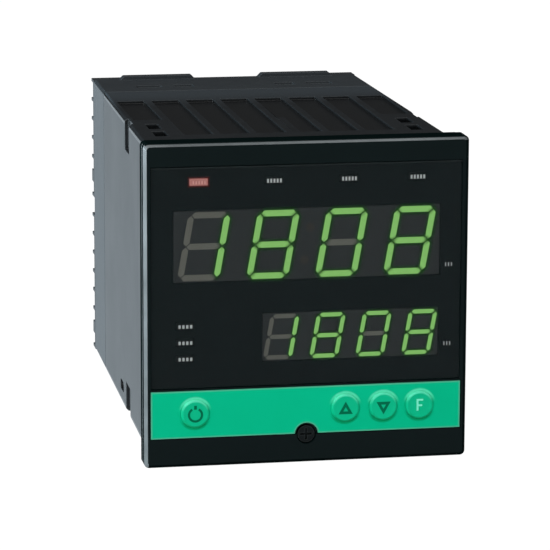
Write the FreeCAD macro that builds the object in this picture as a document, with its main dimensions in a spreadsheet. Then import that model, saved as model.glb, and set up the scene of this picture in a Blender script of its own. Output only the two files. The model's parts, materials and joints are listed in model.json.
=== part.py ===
import FreeCAD, Part
import math
import os
from types import SimpleNamespace

import Sketcher

# A panel-mounted process controller, 96 x 96 mm at the front.
# Every piece is drawn in the face frame: X to the right, Y back from the front
# face, Z up from the middle of the face. Each piece's Placement then moves it to
# the part's own frame, whose origin is under the middle of the whole part, from the
# keys' crowns to the terminal barriers.

Vector = FreeCAD.Vector

# Alias, value in millimetres, and what it sets. Counts are plain numbers too.
SIZES = [
    ("face_size", 96.0, "width and height of the bezel"),
    ("bezel_depth", 10.2, "front face to the back of the bezel"),
    ("bezel_corner", 1.5, "radius of the bezel's corners"),
    ("face_bevel", 1.0, "sloping edge round the front face"),
    ("bezel_step", 0.6, "how far the bezel's back part steps in"),
    ("bezel_step_y", 7.4, "front face to that step"),
    ("bezel_groove_y", 3.2, "front face to the fine groove round the bezel"),
    ("bezel_groove", 0.7, "width of that groove"),
    ("bezel_groove_depth", 0.4, "depth of that groove"),
    ("front_wall", 3.2, "thickness of the bezel's front wall"),
    ("skirt_clear", 0.2, "bezel skirt to sleeve, each side"),
    ("sleeve_insert", 4.2, "length of sleeve inside the bezel"),
    ("gasket_thick", 1.0, "thickness of the panel gasket"),
    ("gasket_inset", 0.6, "gasket edge inside the bezel edge"),
    ("gasket_clear", 0.3, "gasket to sleeve, each side"),
    ("sleeve_width", 91.6, "width of the sleeve at its front"),
    ("sleeve_height", 91.8, "height of the sleeve at its front"),
    ("sleeve_corner", 0.8, "sloping cut along the sleeve's long edges"),
    ("sleeve_wall", 2.4, "wall of the sleeve"),
    ("side_draft", 2.0, "how much each side comes in by the back"),
    ("top_draft", 0.3, "how much top and bottom come in by the back"),
    ("sleeve_run", 107.0, "back of the bezel to the end of the sleeve"),
    ("hood_length", 28.8, "length of the terminal hood"),
    ("hood_wall", 1.3, "hood wall inside the line of the sleeve's wall"),
    ("tongue_length", 5.0, "how far the hood reaches into the sleeve"),
    ("tongue_clear", 0.1, "hood tongue to sleeve"),
    ("joint_groove", 0.6, "width and depth of the line round the joint"),
    ("rear_wall", 3.0, "back wall of the hood"),
    ("rib_pitch", 10.95, "top ribs, centre to centre"),
    ("rib_width", 2.3, "width of a top rib"),
    ("recess_depth", 1.1, "depth of the fields between the ribs"),
    ("recess_start", 18.0, "back of the bezel to the long fields"),
    ("recess_length", 69.0, "length of the long fields"),
    ("thick_rib", 2.4, "extra width of the middle rib's front part"),
    ("rib_root", 0.6, "that rib's root under the floor of the fields"),
    ("short_recess_length", 39.0, "length of the fields behind the hook slots"),
    ("hook_width", 3.8, "width of a clamp hook slot"),
    ("hook_length", 9.5, "length of a clamp hook slot"),
    ("hook_bridge", 4.4, "bridge between two hook slots"),
    ("hook_start", 16.5, "back of the bezel to the first hook slot"),
    ("hook_edge", 5.4, "sleeve side to a hook slot"),
    ("notch_start", 41.0, "back of the bezel to the corner notches"),
    ("notch_length", 10.5, "length of a corner notch"),
    ("notch_height", 9.4, "height of a corner notch"),
    ("notch_depth", 1.3, "depth of a corner notch"),
    ("oval_start", 57.5, "back of the bezel to the oval pocket"),
    ("oval_length", 8.6, "length of the oval pocket"),
    ("oval_height", 3.0, "height of the oval pocket"),
    ("oval_drop", 40.0, "oval pocket below the middle"),
    ("latch_start", 8.0, "end of the sleeve to the latch windows"),
    ("latch_length", 5.0, "length of a latch window"),
    ("latch_depth", 0.8, "depth of a latch window"),
    ("latch_wide", 8.2, "width of the outer latch windows"),
    ("latch_narrow", 6.2, "width of the inner latch windows"),
    ("latch_outer", 28.0, "middle to an outer latch window"),
    ("latch_inner", 16.6, "middle to an inner latch window"),
    ("tab_width", 25.0, "width of a pull tab on the hood's back edge"),
    ("tab_height", 1.3, "height of a pull tab"),
    ("tab_length", 3.4, "length of a pull tab"),
    ("tab_spacing", 23.0, "middle to a pull tab"),
    ("tab_root", 3.0, "pull tab's root inside the hood"),
    ("vent_width", 24.0, "width of a vent slot in the back wall"),
    ("vent_height", 2.4, "height of a vent slot"),
    ("vent_pitch", 7.2, "vent slots, centre to centre"),
    ("vent_count", 9, "vent slots"),
    ("terminal_height", 6.0, "barriers' height behind the hood"),
    ("terminal_pitch", 6.35, "terminals, centre to centre"),
    ("upper_poles", 6, "terminals in an upper strip"),
    ("lower_poles", 7, "terminals in a lower strip"),
    ("barrier", 1.1, "thickness of a barrier"),
    ("wide_barrier", 4.0, "thickness of the wide end of one barrier"),
    ("wide_barrier_reach", 2.2, "length of that wide end"),
    ("strip_width", 20.0, "width of a terminal strip"),
    ("strip_base", 2.0, "base of a terminal strip"),
    ("strip_margin", 0.3, "hood edge to a terminal strip"),
    ("screw_inset", 9.6, "strip's outer edge to its screws"),
    ("screw_head", 4.7, "diameter of a terminal screw's head"),
    ("screw_head_height", 1.7, "height of a terminal screw's head"),
    ("screw_shank", 2.9, "diameter of a terminal screw"),
    ("screw_slot", 0.7, "width of a screwdriver slot"),
    ("screw_bite", 1.5, "terminal screw's length in its base"),
    ("bolt_clear", 0.05, "screw to its hole, each side"),
    ("contact_thick", 0.8, "thickness of a contact"),
    ("contact_width", 4.6, "width of a contact"),
    ("contact_length", 14.4, "length of a contact"),
    ("tail_width", 2.6, "width of a contact's tail"),
    ("tail_clear", 0.1, "contact tail to its slot"),
    ("clamp_thick", 1.0, "thickness of a wire clamp"),
    ("clamp_length", 7.0, "length of a wire clamp"),
    ("window_width", 91.6, "width of the smoked window"),
    ("window_top", 41.0, "top of the window above the middle"),
    ("window_bottom", -24.3, "bottom of the window"),
    ("window_thick", 1.0, "thickness of the window"),
    ("panel_clear", 0.1, "window or key strip to its recess"),
    ("strip_top", -25.1, "top of the green key strip"),
    ("strip_height", 14.1, "height of the key strip"),
    ("key_strip_width", 92.2, "width of the key strip"),
    ("key_strip_thick", 1.0, "thickness of the key strip"),
    ("key_row", -31.9, "height of the keys' centres"),
    ("key_standby_x", -33.1, "standby key's centre"),
    ("key_up_x", 11.55, "up key's centre"),
    ("key_down_x", 22.9, "down key's centre"),
    ("key_function_x", 33.8, "function key's centre"),
    ("key_diameter", 8.5, "diameter of a key's head"),
    ("key_clear", 0.15, "key to its hole, each side"),
    ("key_proud", 0.8, "key's height above the strip"),
    ("key_rim", 1.15, "width of the key's sloping rim"),
    ("key_edge", 0.1, "rim's lower edge above the strip"),
    ("key_seat", 1.5, "front face to the back of the key's head"),
    ("key_stem", 4.0, "side of the key's square stem"),
    ("key_travel", 0.6, "how far a key goes in"),
    ("travel_spare", 0.3, "room left behind a pressed key"),
    ("notch_radius", 3.5, "half-round notch over the retaining screw"),
    ("lock_screw_z", -39.5, "height of the retaining screw"),
    ("lock_head", 5.0, "diameter of the retaining screw's head"),
    ("lock_head_height", 1.7, "height of the retaining screw's head"),
    ("lock_sink", 0.7, "front face to the retaining screw's head"),
    ("lock_shank", 3.0, "diameter of the retaining screw"),
    ("lock_room", 0.3, "retaining screw to the bezel, each side"),
    ("lock_cross", 3.5, "length of the cross in the retaining screw's head"),
    ("lock_cross_depth", 1.0, "depth of that cross"),
    ("lock_board_hole", 4.8, "display board's hole for the retaining screw"),
    ("lug_start", 6.0, "back of the bezel to the screw lug"),
    ("lug_length", 7.0, "length of the screw lug"),
    ("lug_width", 9.0, "width of the screw lug"),
    ("lug_over", 4.0, "lug above the screw's axis"),
    ("insert_across", 5.6, "threaded insert across its corners"),
    ("insert_fit", 0.05, "screw or lug to the insert, each side"),
    ("board_thick", 1.6, "thickness of a circuit board"),
    ("display_board_y", 12.4, "front of the display board"),
    ("board_gap", 0.5, "display board to the sleeve's walls"),
    ("post_side", 4.6, "side of a square post on the back of the bezel"),
    ("post_x", 38.5, "middle to a post"),
    ("post_z", 40.2, "middle to a post, up and down"),
    ("post_screw", 2.4, "diameter of a board screw"),
    ("post_screw_head", 4.4, "diameter of a board screw's head"),
    ("post_screw_depth", 6.0, "board screw's length in its post"),
    ("pv_width", 78.7, "width of the upper display"),
    ("pv_height", 20.9, "height of the upper display"),
    ("pv_x", 0.2, "middle of the upper display"),
    ("pv_z", 17.45, "height of the upper display's middle"),
    ("pv_digit_height", 20.2, "height of an upper digit"),
    ("pv_digit_width", 12.4, "width of an upper digit, upright"),
    ("pv_pitch", 20.3, "upper digits, centre to centre"),
    ("pv_segment", 1.8, "width of an upper segment"),
    ("sp_width", 52.3, "width of the lower display"),
    ("sp_height", 14.2, "height of the lower display"),
    ("sp_x", 13.2, "middle of the lower display"),
    ("sp_z", -10.1, "height of the lower display's middle"),
    ("sp_digit_height", 13.5, "height of a lower digit"),
    ("sp_digit_width", 8.6, "width of a lower digit, upright"),
    ("sp_pitch", 13.75, "lower digits, centre to centre"),
    ("sp_segment", 1.25, "width of a lower segment"),
    ("digit_slant", 10.0, "lean of the digits, in degrees"),
    ("segment_gap", 0.35, "gap between two segments"),
    ("segment_proud", 0.15, "segments in front of the display's face"),
    ("display_face", 1.3, "front face to the displays' faces"),
    ("display_clear", 0.2, "display to its window in the bezel"),
    ("guide_width", 5.3, "width of a light guide"),
    ("guide_height", 2.0, "height of a light guide"),
    ("guide_clear", 0.1, "light guide to its hole"),
    ("guide_row", 36.4, "height of the upper indicators"),
    ("guide_first_x", -31.8, "first upper indicator"),
    ("guide_second_x", -9.8, "second upper indicator"),
    ("guide_third_x", 12.3, "third upper indicator"),
    ("guide_fourth_x", 32.6, "fourth upper indicator"),
    ("guide_column", -35.9, "side column of indicators"),
    ("guide_column_top", -5.9, "highest of the side column"),
    ("guide_column_pitch", 4.85, "side column, centre to centre"),
    ("lamp_height", 2.2, "depth of an indicator lamp"),
    ("lamp_width", 3.2, "width of an indicator lamp"),
    ("switch_size", 6.0, "side of a key switch"),
    ("switch_height", 3.5, "height of a key switch"),
    ("plunger_side", 2.8, "side of a square switch plunger"),
    ("plunger_proud", 0.8, "plunger in front of its switch"),
    ("plunger_depth", 1.4, "plunger inside its switch"),
    ("plunger_clear", 0.1, "plunger to its bore, each side"),
    ("board_x", 25.0, "middle to an upright board"),
    ("board_half", 41.4, "upright board above and below the middle"),
    ("board_front_gap", 0.8, "display board to an upright board"),
    ("rail_height", 3.5, "guide rail from the sleeve's wall"),
    ("rail_width", 1.2, "width of a guide rail"),
    ("rail_clear", 0.15, "upright board to its rail"),
    ("rail_start", 5.8, "back of the bezel to the guide rails"),
    ("rail_length", 92.0, "length of a guide rail"),
    ("socket_depth", 10.0, "depth of a rear socket"),
    ("socket_width", 8.0, "width of a rear socket"),
    ("socket_half", 39.0, "rear socket above and below the middle"),
    ("socket_bite", 6.0, "board's length in its rear socket"),
    ("socket_spare", 0.2, "slot behind the board's end"),
    ("socket_end", 1.5, "closed end of a rear socket's slot"),
    ("shoulder_gap", 0.3, "board's shoulder to its rear socket"),
    ("socket_clear", 0.1, "board to its slot, each side"),
    ("header_length", 6.5, "depth of a board header"),
    ("header_width", 5.0, "width of a board header"),
    ("header_half", 15.0, "board header above and below the middle"),
    ("spacer_across", 5.5, "six-sided board spacer across its corners"),
    ("spacer_first_y", 34.0, "front to the first pair of spacers"),
    ("spacer_second_y", 108.0, "front to the second pair"),
    ("spacer_z", 34.0, "middle to a spacer"),
    ("core_length", 34.0, "length of the transformer's core"),
    ("core_height", 30.0, "height of the transformer's core"),
    ("core_width", 14.0, "width of the transformer's core"),
    ("core_leg", 6.0, "leg of the transformer's core"),
    ("core_y", 44.0, "front to the transformer"),
    ("core_z", -14.0, "height of the transformer's middle"),
    ("coil_clear", 0.3, "coil to core"),
    ("coil_width", 24.0, "width of the coil across the core"),
    ("relay_length", 28.0, "length of a relay"),
    ("relay_width", 15.0, "relay from the board"),
    ("relay_height", 10.2, "height of a relay"),
    ("relay_pitch", 12.5, "relays, centre to centre"),
    ("relay_count", 4, "relays"),
    ("relay_y", 90.0, "front to the relays"),
    ("relay_first_z", -22.0, "height of the lowest relay"),
    ("capacitor_diameter", 10.0, "diameter of a capacitor"),
    ("capacitor_length", 16.0, "length of a capacitor"),
    ("capacitor_pitch", 13.0, "capacitors, centre to centre"),
    ("capacitor_count", 3, "capacitors"),
    ("capacitor_y", 50.0, "front to the first capacitor"),
    ("capacitor_z", 22.0, "height of the capacitors"),
    ("processor_side", 20.0, "side of the processor"),
    ("processor_thick", 1.8, "thickness of the processor"),
    ("processor_y", 52.0, "front to the processor"),
    ("chip_length", 12.0, "length of a small chip"),
    ("chip_height", 7.6, "height of a small chip"),
    ("chip_thick", 2.4, "thickness of a small chip"),
    ("chip_pitch", 16.0, "small chips, centre to centre"),
    ("chip_count", 4, "small chips"),
    ("chip_y", 84.0, "front to the small chips"),
    ("chip_first_z", -24.0, "height of the lowest small chip"),
]

LIT_READING = "1808"
SEGMENTS_OF = {"0": "abcdef", "1": "bc", "8": "abcdefg"}
KEYS = ("standby", "up", "down", "function")
NODES = []

# Sides of the forms that repeat: screw shanks and their holes, screw heads, standoffs, cans.
SHANK_SIDES = 4
HEAD_SIDES = 8
HEX_SIDES = 6
CAN_SIDES = 16

# Full fields between the top ribs, and how far a cutting form stands past its face.
FIELD_COUNT = 6
PAST = 1.0

# Turns from an upright rod to one along +X or +Y.
TURNS = {
    "X": FreeCAD.Rotation(Vector(0, 1, 0), 90),
    "Y": FreeCAD.Rotation(Vector(1, 0, 0), -90),
}


class Size:
    """A length that knows both its value and the sheet formula that gives it."""

    def __init__(self, formula, value):
        self.formula = formula
        self.value = value

    def join(self, sign, other, value):
        return Size(f"({self.formula} {sign} {as_size(other).formula})", value)

    def __add__(self, other):
        return self.join("+", other, self.value + as_size(other).value)

    def __sub__(self, other):
        return self.join("-", other, self.value - as_size(other).value)

    def __mul__(self, other):
        return self.join("*", other, self.value * as_size(other).value)

    def __truediv__(self, other):
        return self.join("/", other, self.value / as_size(other).value)

    def __radd__(self, other):
        return as_size(other) + self

    def __rsub__(self, other):
        return as_size(other) - self

    def __rmul__(self, other):
        return as_size(other) * self

    def __neg__(self):
        return Size(f"(0 - {self.formula})", -self.value)


def as_size(value):
    if isinstance(value, Size):
        return value
    return Size(f"{float(value):.6f}", float(value))


def make_sheet():
    """Put the driving sizes in a spreadsheet and return them by name."""
    sheet = doc.addObject("Spreadsheet::Sheet", "Sizes")
    sizes = SimpleNamespace()
    for row, (alias, value, meaning) in enumerate(SIZES, start=1):
        sheet.set(f"A{row}", meaning)
        sheet.set(f"B{row}", str(value))
        sheet.setAlias(f"B{row}", alias)
        setattr(sizes, alias, Size(f"Sizes.{alias}", float(value)))
    doc.recompute()
    return sizes


doc = FreeCAD.newDocument("ProcessController")
s = make_sheet()

# Stations along Y, all counted from the front face.
SLEEVE_START = s.bezel_depth - s.sleeve_insert
JOINT = s.bezel_depth + s.sleeve_run
REAR_FACE = JOINT + s.hood_length
OVERALL = REAR_FACE + s.terminal_height
BOARD_BACK = s.display_board_y + s.board_thick
HALF_WIDTH = s.sleeve_width / 2
HALF_HEIGHT = s.sleeve_height / 2
REAR_HALF_WIDTH = HALF_WIDTH - s.side_draft
REAR_HALF_HEIGHT = HALF_HEIGHT - s.top_draft
CASE_RUN = REAR_FACE - SLEEVE_START


def half_width_at(station):
    return HALF_WIDTH - s.side_draft * (station - SLEEVE_START) / CASE_RUN


def half_height_at(station):
    return HALF_HEIGHT - s.top_draft * (station - SLEEVE_START) / CASE_RUN


def bind(thing, prop, size):
    """Tie a property to the sheet."""
    size = as_size(size)
    thing.setExpression(prop, size.formula)


def set_places(thing, x=0, y=0, z=0):
    bind(thing, "Placement.Base.x", x)
    bind(thing, "Placement.Base.y", y)
    bind(thing, "Placement.Base.z", z)


def finish_node(thing, label, x=0, y=0, z=0):
    """Name a sub-part and move it from the face frame to the part's frame."""
    thing.Label = label
    set_places(thing, x, y - (OVERALL - s.key_proud) / 2, z + s.face_size / 2)
    NODES.append(thing)
    return thing


def new_body(label, x=0, z=0):
    body = doc.addObject("PartDesign::Body", label)
    return finish_node(body, label, x, 0, z)


def origin_item(body, role):
    return next(item for item in body.Origin.OriginFeatures if item.Role == role)


def new_sketch(body, name, plane, offset):
    """A sketch on one of the body's planes: front (XZ), top (XY) or side (YZ)."""
    roles = {"front": "XZ_Plane", "top": "XY_Plane", "side": "YZ_Plane"}
    sketch = body.newObject("Sketcher::SketchObject", name)
    sketch.AttachmentSupport = [(origin_item(body, roles[plane]), "")]
    sketch.MapMode = "FlatFace"
    # The front plane's normal points forward, so a depth is a negative offset.
    bind(sketch, "AttachmentOffset.Base.z", -as_size(offset) if plane == "front" else offset)
    return sketch


def fix(sketch, kind, parts, size):
    """Add a driving dimension bound to the sheet."""
    size = as_size(size)
    number = sketch.addConstraint(Sketcher.Constraint(kind, *parts, size.value))
    sketch.setExpression(f"Constraints[{number}]", size.formula)


def draw_rectangle(sketch, centre_x, centre_y, width, height):
    """A rectangle by its centre and size, all four bound to the sheet."""
    left = as_size(centre_x) - as_size(width) / 2
    low = as_size(centre_y) - as_size(height) / 2
    right = left.value + as_size(width).value
    high = low.value + as_size(height).value
    corners = [
        Vector(left.value, low.value, 0),
        Vector(right, low.value, 0),
        Vector(right, high, 0),
        Vector(left.value, high, 0),
    ]
    first = sketch.GeometryCount
    for number in range(4):
        sketch.addGeometry(Part.LineSegment(corners[number], corners[(number + 1) % 4]), False)
    for number in range(4):
        following = first + (number + 1) % 4
        sketch.addConstraint(Sketcher.Constraint("Coincident", first + number, 2, following, 1))
    for number in (0, 2):
        sketch.addConstraint(Sketcher.Constraint("Horizontal", first + number))
        sketch.addConstraint(Sketcher.Constraint("Vertical", first + number + 1))
    fix(sketch, "DistanceX", (-1, 1, first, 1), left)
    fix(sketch, "DistanceY", (-1, 1, first, 1), low)
    fix(sketch, "DistanceX", (first, 1, first, 2), width)
    fix(sketch, "DistanceY", (first + 1, 1, first + 1, 2), height)


def draw_rounded_rectangle(sketch, half_x, half_y, radius):
    """A rectangle about the origin with round corners."""
    half_x, half_y, radius = as_size(half_x), as_size(half_y), as_size(radius)
    hx, hy, r = half_x.value, half_y.value, radius.value
    first = sketch.GeometryCount
    lines = [
        (Vector(r - hx, -hy, 0), Vector(hx - r, -hy, 0)),
        (Vector(hx, r - hy, 0), Vector(hx, hy - r, 0)),
        (Vector(hx - r, hy, 0), Vector(r - hx, hy, 0)),
        (Vector(-hx, hy - r, 0), Vector(-hx, r - hy, 0)),
    ]
    centres = [Vector(hx - r, r - hy, 0), Vector(hx - r, hy - r, 0),
               Vector(r - hx, hy - r, 0), Vector(r - hx, r - hy, 0)]
    for number in range(4):
        sketch.addGeometry(Part.LineSegment(*lines[number]), False)
        start = (number - 1) * math.pi / 2
        circle = Part.Circle(centres[number], Vector(0, 0, 1), r)
        sketch.addGeometry(Part.ArcOfCircle(circle, start, start + math.pi / 2), False)
    for number in range(4):
        line = first + 2 * number
        following = first + (2 * number + 2) % 8
        sketch.addConstraint(Sketcher.Constraint("Tangent", line, 2, line + 1, 1))
        sketch.addConstraint(Sketcher.Constraint("Tangent", line + 1, 2, following, 1))
    for number in (0, 2):
        sketch.addConstraint(Sketcher.Constraint("Horizontal", first + 2 * number))
        sketch.addConstraint(Sketcher.Constraint("Vertical", first + 2 * number + 2))
    for number in (1, 2, 3):
        sketch.addConstraint(Sketcher.Constraint("Equal", first + 1, first + 2 * number + 1))
    fix(sketch, "Radius", (first + 1,), radius)
    fix(sketch, "DistanceY", (-1, 1, first, 1), -half_y)
    fix(sketch, "DistanceY", (-1, 1, first + 4, 1), half_y)
    fix(sketch, "DistanceX", (-1, 1, first + 2, 1), half_x)
    fix(sketch, "DistanceX", (-1, 1, first + 6, 1), -half_x)


def draw_cut_rectangle(sketch, half_x, half_y, cut):
    """A rectangle about the origin with its corners cut off at 45 degrees."""
    half_x, half_y = as_size(half_x), as_size(half_y)
    points = []
    for across, up in ((1, -1), (1, 1), (-1, 1), (-1, -1)):
        upright = (across * half_x, up * (half_y - cut))
        level = (across * (half_x - cut), up * half_y)
        points += [upright, level] if across == up else [level, upright]
    draw_polygon(sketch, points)


def draw_circle(sketch, centre_x, centre_y, diameter):
    centre_x, centre_y = as_size(centre_x), as_size(centre_y)
    radius = as_size(diameter) / 2
    centre = Vector(centre_x.value, centre_y.value, 0)
    circle = sketch.addGeometry(Part.Circle(centre, Vector(0, 0, 1), radius.value), False)
    fix(sketch, "DistanceX", (-1, 1, circle, 3), centre_x)
    fix(sketch, "DistanceY", (-1, 1, circle, 3), centre_y)
    fix(sketch, "Radius", (circle,), radius)


def draw_many_sided(sketch, centre_x, centre_y, across, sides):
    """A regular outline with the given number of sides, measured across its corners."""
    reach = as_size(across) / 2
    points = []
    for number in range(sides):
        angle = 2 * math.pi * number / sides
        points.append((as_size(centre_x) + reach * math.cos(angle),
                       as_size(centre_y) + reach * math.sin(angle)))
    draw_polygon(sketch, points)


def extrude(body, kind, name, sketch, length, backward=False):
    """A Pad or a Pocket of the sketch; on the front plane both then run back."""
    feature = body.newObject(f"PartDesign::{kind}", name)
    feature.Profile = sketch
    feature.Reversed = backward
    bind(feature, "Length", length)
    sketch.Visibility = False
    return feature


def pad_back(body, name, sketch, length):
    """From a front-plane sketch, material that runs back along Y."""
    return extrude(body, "Pad", name, sketch, length, True)


def cut_back(body, name, sketch, length):
    """From a front-plane sketch, a cut that runs back along Y."""
    return extrude(body, "Pocket", name, sketch, length)


def loft_between(body, kind, name, first, last):
    loft = body.newObject(f"PartDesign::{kind}", name)
    loft.Profile = first
    loft.Sections = [last]
    loft.Ruled = True
    return loft


def repeat(body, name, feature, axis, pitch, count):
    """Copy a feature in a straight row along one of the body's axes."""
    pattern = body.newObject("PartDesign::LinearPattern", name)
    pattern.Originals = [feature]
    pattern.Direction = (origin_item(body, axis), [""])
    bind(pattern, "Length", as_size(pitch) * (count - 1))
    bind(pattern, "Occurrences", count)
    body.Tip = pattern
    return pattern


def new_box(name, centre_x, start_y, centre_z, width, length, height):
    """A block by its middle across and up, and its front in depth."""
    box = doc.addObject("Part::Box", name)
    bind(box, "Length", width)
    bind(box, "Width", length)
    bind(box, "Height", height)
    x = as_size(centre_x) - as_size(width) / 2
    z = as_size(centre_z) - as_size(height) / 2
    set_places(box, x, start_y, z)
    return box


def new_rod(name, centre_x, start_y, centre_z, diameter, length, axis="Y"):
    """A round rod that starts at the given point and runs along +X or +Y."""
    rod = doc.addObject("Part::Cylinder", name)
    bind(rod, "Radius", as_size(diameter) / 2)
    bind(rod, "Height", length)
    rod.Placement = FreeCAD.Placement(Vector(0, 0, 0), TURNS[axis])
    set_places(rod, centre_x, start_y, centre_z)
    return rod


def new_prism(name, centre_x, start_y, centre_z, across, length, sides, axis="Y"):
    """A rod with flat sides, measured across its corners, that runs along +X or +Y."""
    prism = doc.addObject("Part::Prism", name)
    prism.Polygon = sides
    bind(prism, "Circumradius", as_size(across) / 2)
    bind(prism, "Height", length)
    prism.Placement = FreeCAD.Placement(Vector(0, 0, 0), TURNS[axis])
    set_places(prism, centre_x, start_y, centre_z)
    return prism


def new_cut(name, base, *tools):
    """Take the tools, fused into one, away from the base."""
    cut = doc.addObject("Part::Cut", name)
    cut.Base = base
    cut.Tool = tools[0] if len(tools) == 1 else new_fuse(f"{name}_tools", *tools)
    return cut


def new_fuse(name, *pieces):
    fuse = doc.addObject("Part::MultiFuse", name)
    fuse.Shapes = list(pieces)
    return fuse


def new_group(label, pieces):
    """Several like solids that share one node."""
    group = doc.addObject("Part::Compound", label)
    group.Links = list(pieces)
    return finish_node(group, label)


def new_copies(name, form, places):
    """Linked copies of one form, each at its own place."""
    copies = []
    for number, (x, y, z) in enumerate(places, start=1):
        copy = doc.addObject("App::Link", f"{name}_{number}")
        copy.LinkedObject = form
        copy.LinkTransform = False
        set_places(copy, x, y, z)
        copies.append(copy)
    return copies


def key_x(name):
    return getattr(s, f"key_{name}_x")


def indicator_places():
    """Centres of the indicators: four in a row, then three in a column."""
    row = [s.guide_first_x, s.guide_second_x, s.guide_third_x, s.guide_fourth_x]
    places = [(x, s.guide_row) for x in row]
    for number in range(3):
        places.append((s.guide_column, s.guide_column_top - number * s.guide_column_pitch))
    return places


def post_places():
    return [(x, z) for x in (-s.post_x, s.post_x) for z in (-s.post_z, s.post_z)]


def make_sleeve():
    """The drafted tube that slides through the panel and holds the chassis."""
    body = new_body("sleeve")
    front = new_sketch(body, "sleeve_front", "front", SLEEVE_START)
    draw_cut_rectangle(front, HALF_WIDTH, HALF_HEIGHT, s.sleeve_corner)
    back = new_sketch(body, "sleeve_back", "front", JOINT)
    draw_cut_rectangle(back, half_width_at(JOINT), half_height_at(JOINT), s.sleeve_corner)
    loft_between(body, "AdditiveLoft", "sleeve_outside", front, back)

    mouth = new_sketch(body, "sleeve_mouth", "front", SLEEVE_START)
    draw_rectangle(mouth, 0, 0, 2 * (HALF_WIDTH - s.sleeve_wall), 2 * (HALF_HEIGHT - s.sleeve_wall))
    end = new_sketch(body, "sleeve_end", "front", JOINT)
    draw_rectangle(end, 0, 0, 2 * (half_width_at(JOINT) - s.sleeve_wall),
                   2 * (half_height_at(JOINT) - s.sleeve_wall))
    loft_between(body, "SubtractiveLoft", "sleeve_inside", mouth, end)

    cut_sleeve_fields(body, "top")
    cut_sleeve_fields(body, "bottom")
    cut_sleeve_sides(body)
    add_sleeve_rails(body)
    add_screw_lug(body)
    return body


def cut_sleeve_fields(body, side):
    """Sunk fields between the ribs, and the slots for the clamps' hooks."""
    up = side == "top"
    level = HALF_HEIGHT if up else -HALF_HEIGHT
    field_width = s.rib_pitch - s.rib_width
    start = s.bezel_depth + s.recess_start

    field = new_sketch(body, f"{side}_field", "top", level)
    first_x = -s.rib_pitch * (FIELD_COUNT - 1) / 2
    draw_rectangle(field, first_x, start + s.recess_length / 2, field_width, s.recess_length)
    pocket = extrude(body, "Pocket", f"{side}_field_cut", field, s.recess_depth, not up)
    repeat(body, f"{side}_fields", pocket, "X_Axis", s.rib_pitch, FIELD_COUNT)

    outer = new_sketch(body, f"{side}_outer_fields", "top", level)
    outer_x = s.rib_pitch * (FIELD_COUNT + 1) / 2
    outer_middle = start + s.recess_length - s.short_recess_length / 2
    hooks = new_sketch(body, f"{side}_hooks", "top", level)
    hook_x = HALF_WIDTH - s.hook_edge - s.hook_width / 2
    for sign in (-1, 1):
        draw_rectangle(outer, sign * outer_x, outer_middle, field_width, s.short_recess_length)
        for number in range(2):
            middle = s.bezel_depth + s.hook_start + s.hook_length / 2
            middle = middle + number * (s.hook_length + s.hook_bridge)
            draw_rectangle(hooks, sign * hook_x, middle, s.hook_width, s.hook_length)
    extrude(body, "Pocket", f"{side}_outer_cut", outer, s.recess_depth, not up)

    extrude(body, "Pocket", f"{side}_hook_cut", hooks, s.sleeve_wall + s.top_draft + PAST, not up)
    if up:
        thicken_middle_rib(body, start)


def thicken_middle_rib(body, start):
    """The middle rib on top is wider over its front part."""
    length = s.recess_length - s.short_recess_length
    rise = s.recess_depth + s.rib_root - s.top_draft
    rib = new_sketch(body, "thick_rib", "top", HALF_HEIGHT - s.top_draft - rise)
    width = s.thick_rib + s.rib_width / 2
    draw_rectangle(rib, width / 2, start + length / 2, width, length)
    extrude(body, "Pad", "thick_rib_pad", rib, rise)


def cut_sleeve_sides(body):
    """Corner notches and an oval pocket on each side."""
    for sign, name in ((-1, "left"), (1, "right")):
        notches = new_sketch(body, f"{name}_notches", "side", sign * HALF_WIDTH)
        middle = s.bezel_depth + s.notch_start + s.notch_length / 2
        for upward in (-1, 1):
            level = upward * (HALF_HEIGHT - (s.notch_height - PAST) / 2)
            draw_rectangle(notches, middle, level, s.notch_length, s.notch_height + PAST)
        depth = s.notch_depth + s.side_draft * (middle - SLEEVE_START) / CASE_RUN
        extrude(body, "Pocket", f"{name}_notch_cut", notches, depth, sign < 0)

        oval = new_sketch(body, f"{name}_oval", "side", sign * HALF_WIDTH)
        start = s.bezel_depth + s.oval_start
        draw_rectangle(oval, start + s.oval_length / 2, -s.oval_drop,
                       s.oval_length - s.oval_height, s.oval_height)
        extrude(body, "Pocket", f"{name}_oval_cut", oval, depth, sign < 0)
        for end in (0, 1):
            tip = new_sketch(body, f"{name}_oval_end_{end}", "side", sign * HALF_WIDTH)
            reach = s.oval_height / 2 + end * (s.oval_length - s.oval_height)
            draw_circle(tip, start + reach, -s.oval_drop, s.oval_height)
            extrude(body, "Pocket", f"{name}_oval_end_cut_{end}", tip, depth, sign < 0)


def add_sleeve_rails(body):
    """Rails on the inside of the top and bottom that guide the two boards."""
    rails = new_sketch(body, "rails", "front", s.bezel_depth + s.rail_start)
    root = s.sleeve_wall / 2
    height = s.rail_height + root
    level = HALF_HEIGHT - root - height / 2
    reach = s.board_thick / 2 + s.rail_clear + s.rail_width / 2
    for upward in (-1, 1):
        for board in (-1, 1):
            for edge in (-1, 1):
                x = board * s.board_x + edge * reach
                draw_rectangle(rails, x, upward * level, s.rail_width, height)
    pad_back(body, "rails_pad", rails, s.rail_length)


def add_screw_lug(body):
    """A lug on the floor that holds the retaining screw's threaded insert."""
    lug = new_sketch(body, "lug", "front", s.bezel_depth + s.lug_start)
    low = -HALF_HEIGHT + s.sleeve_wall / 2
    height = s.lock_screw_z + s.lug_over - low
    draw_rectangle(lug, 0, low + height / 2, s.lug_width, height)
    pad_back(body, "lug_pad", lug, s.lug_length)
    bore = new_sketch(body, "lug_bore", "front", s.bezel_depth + s.lug_start)
    draw_many_sided(bore, 0, s.lock_screw_z, s.insert_across + 2 * s.insert_fit, HEX_SIDES)
    cut_back(body, "lug_bore_cut", bore, s.lug_length)


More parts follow.
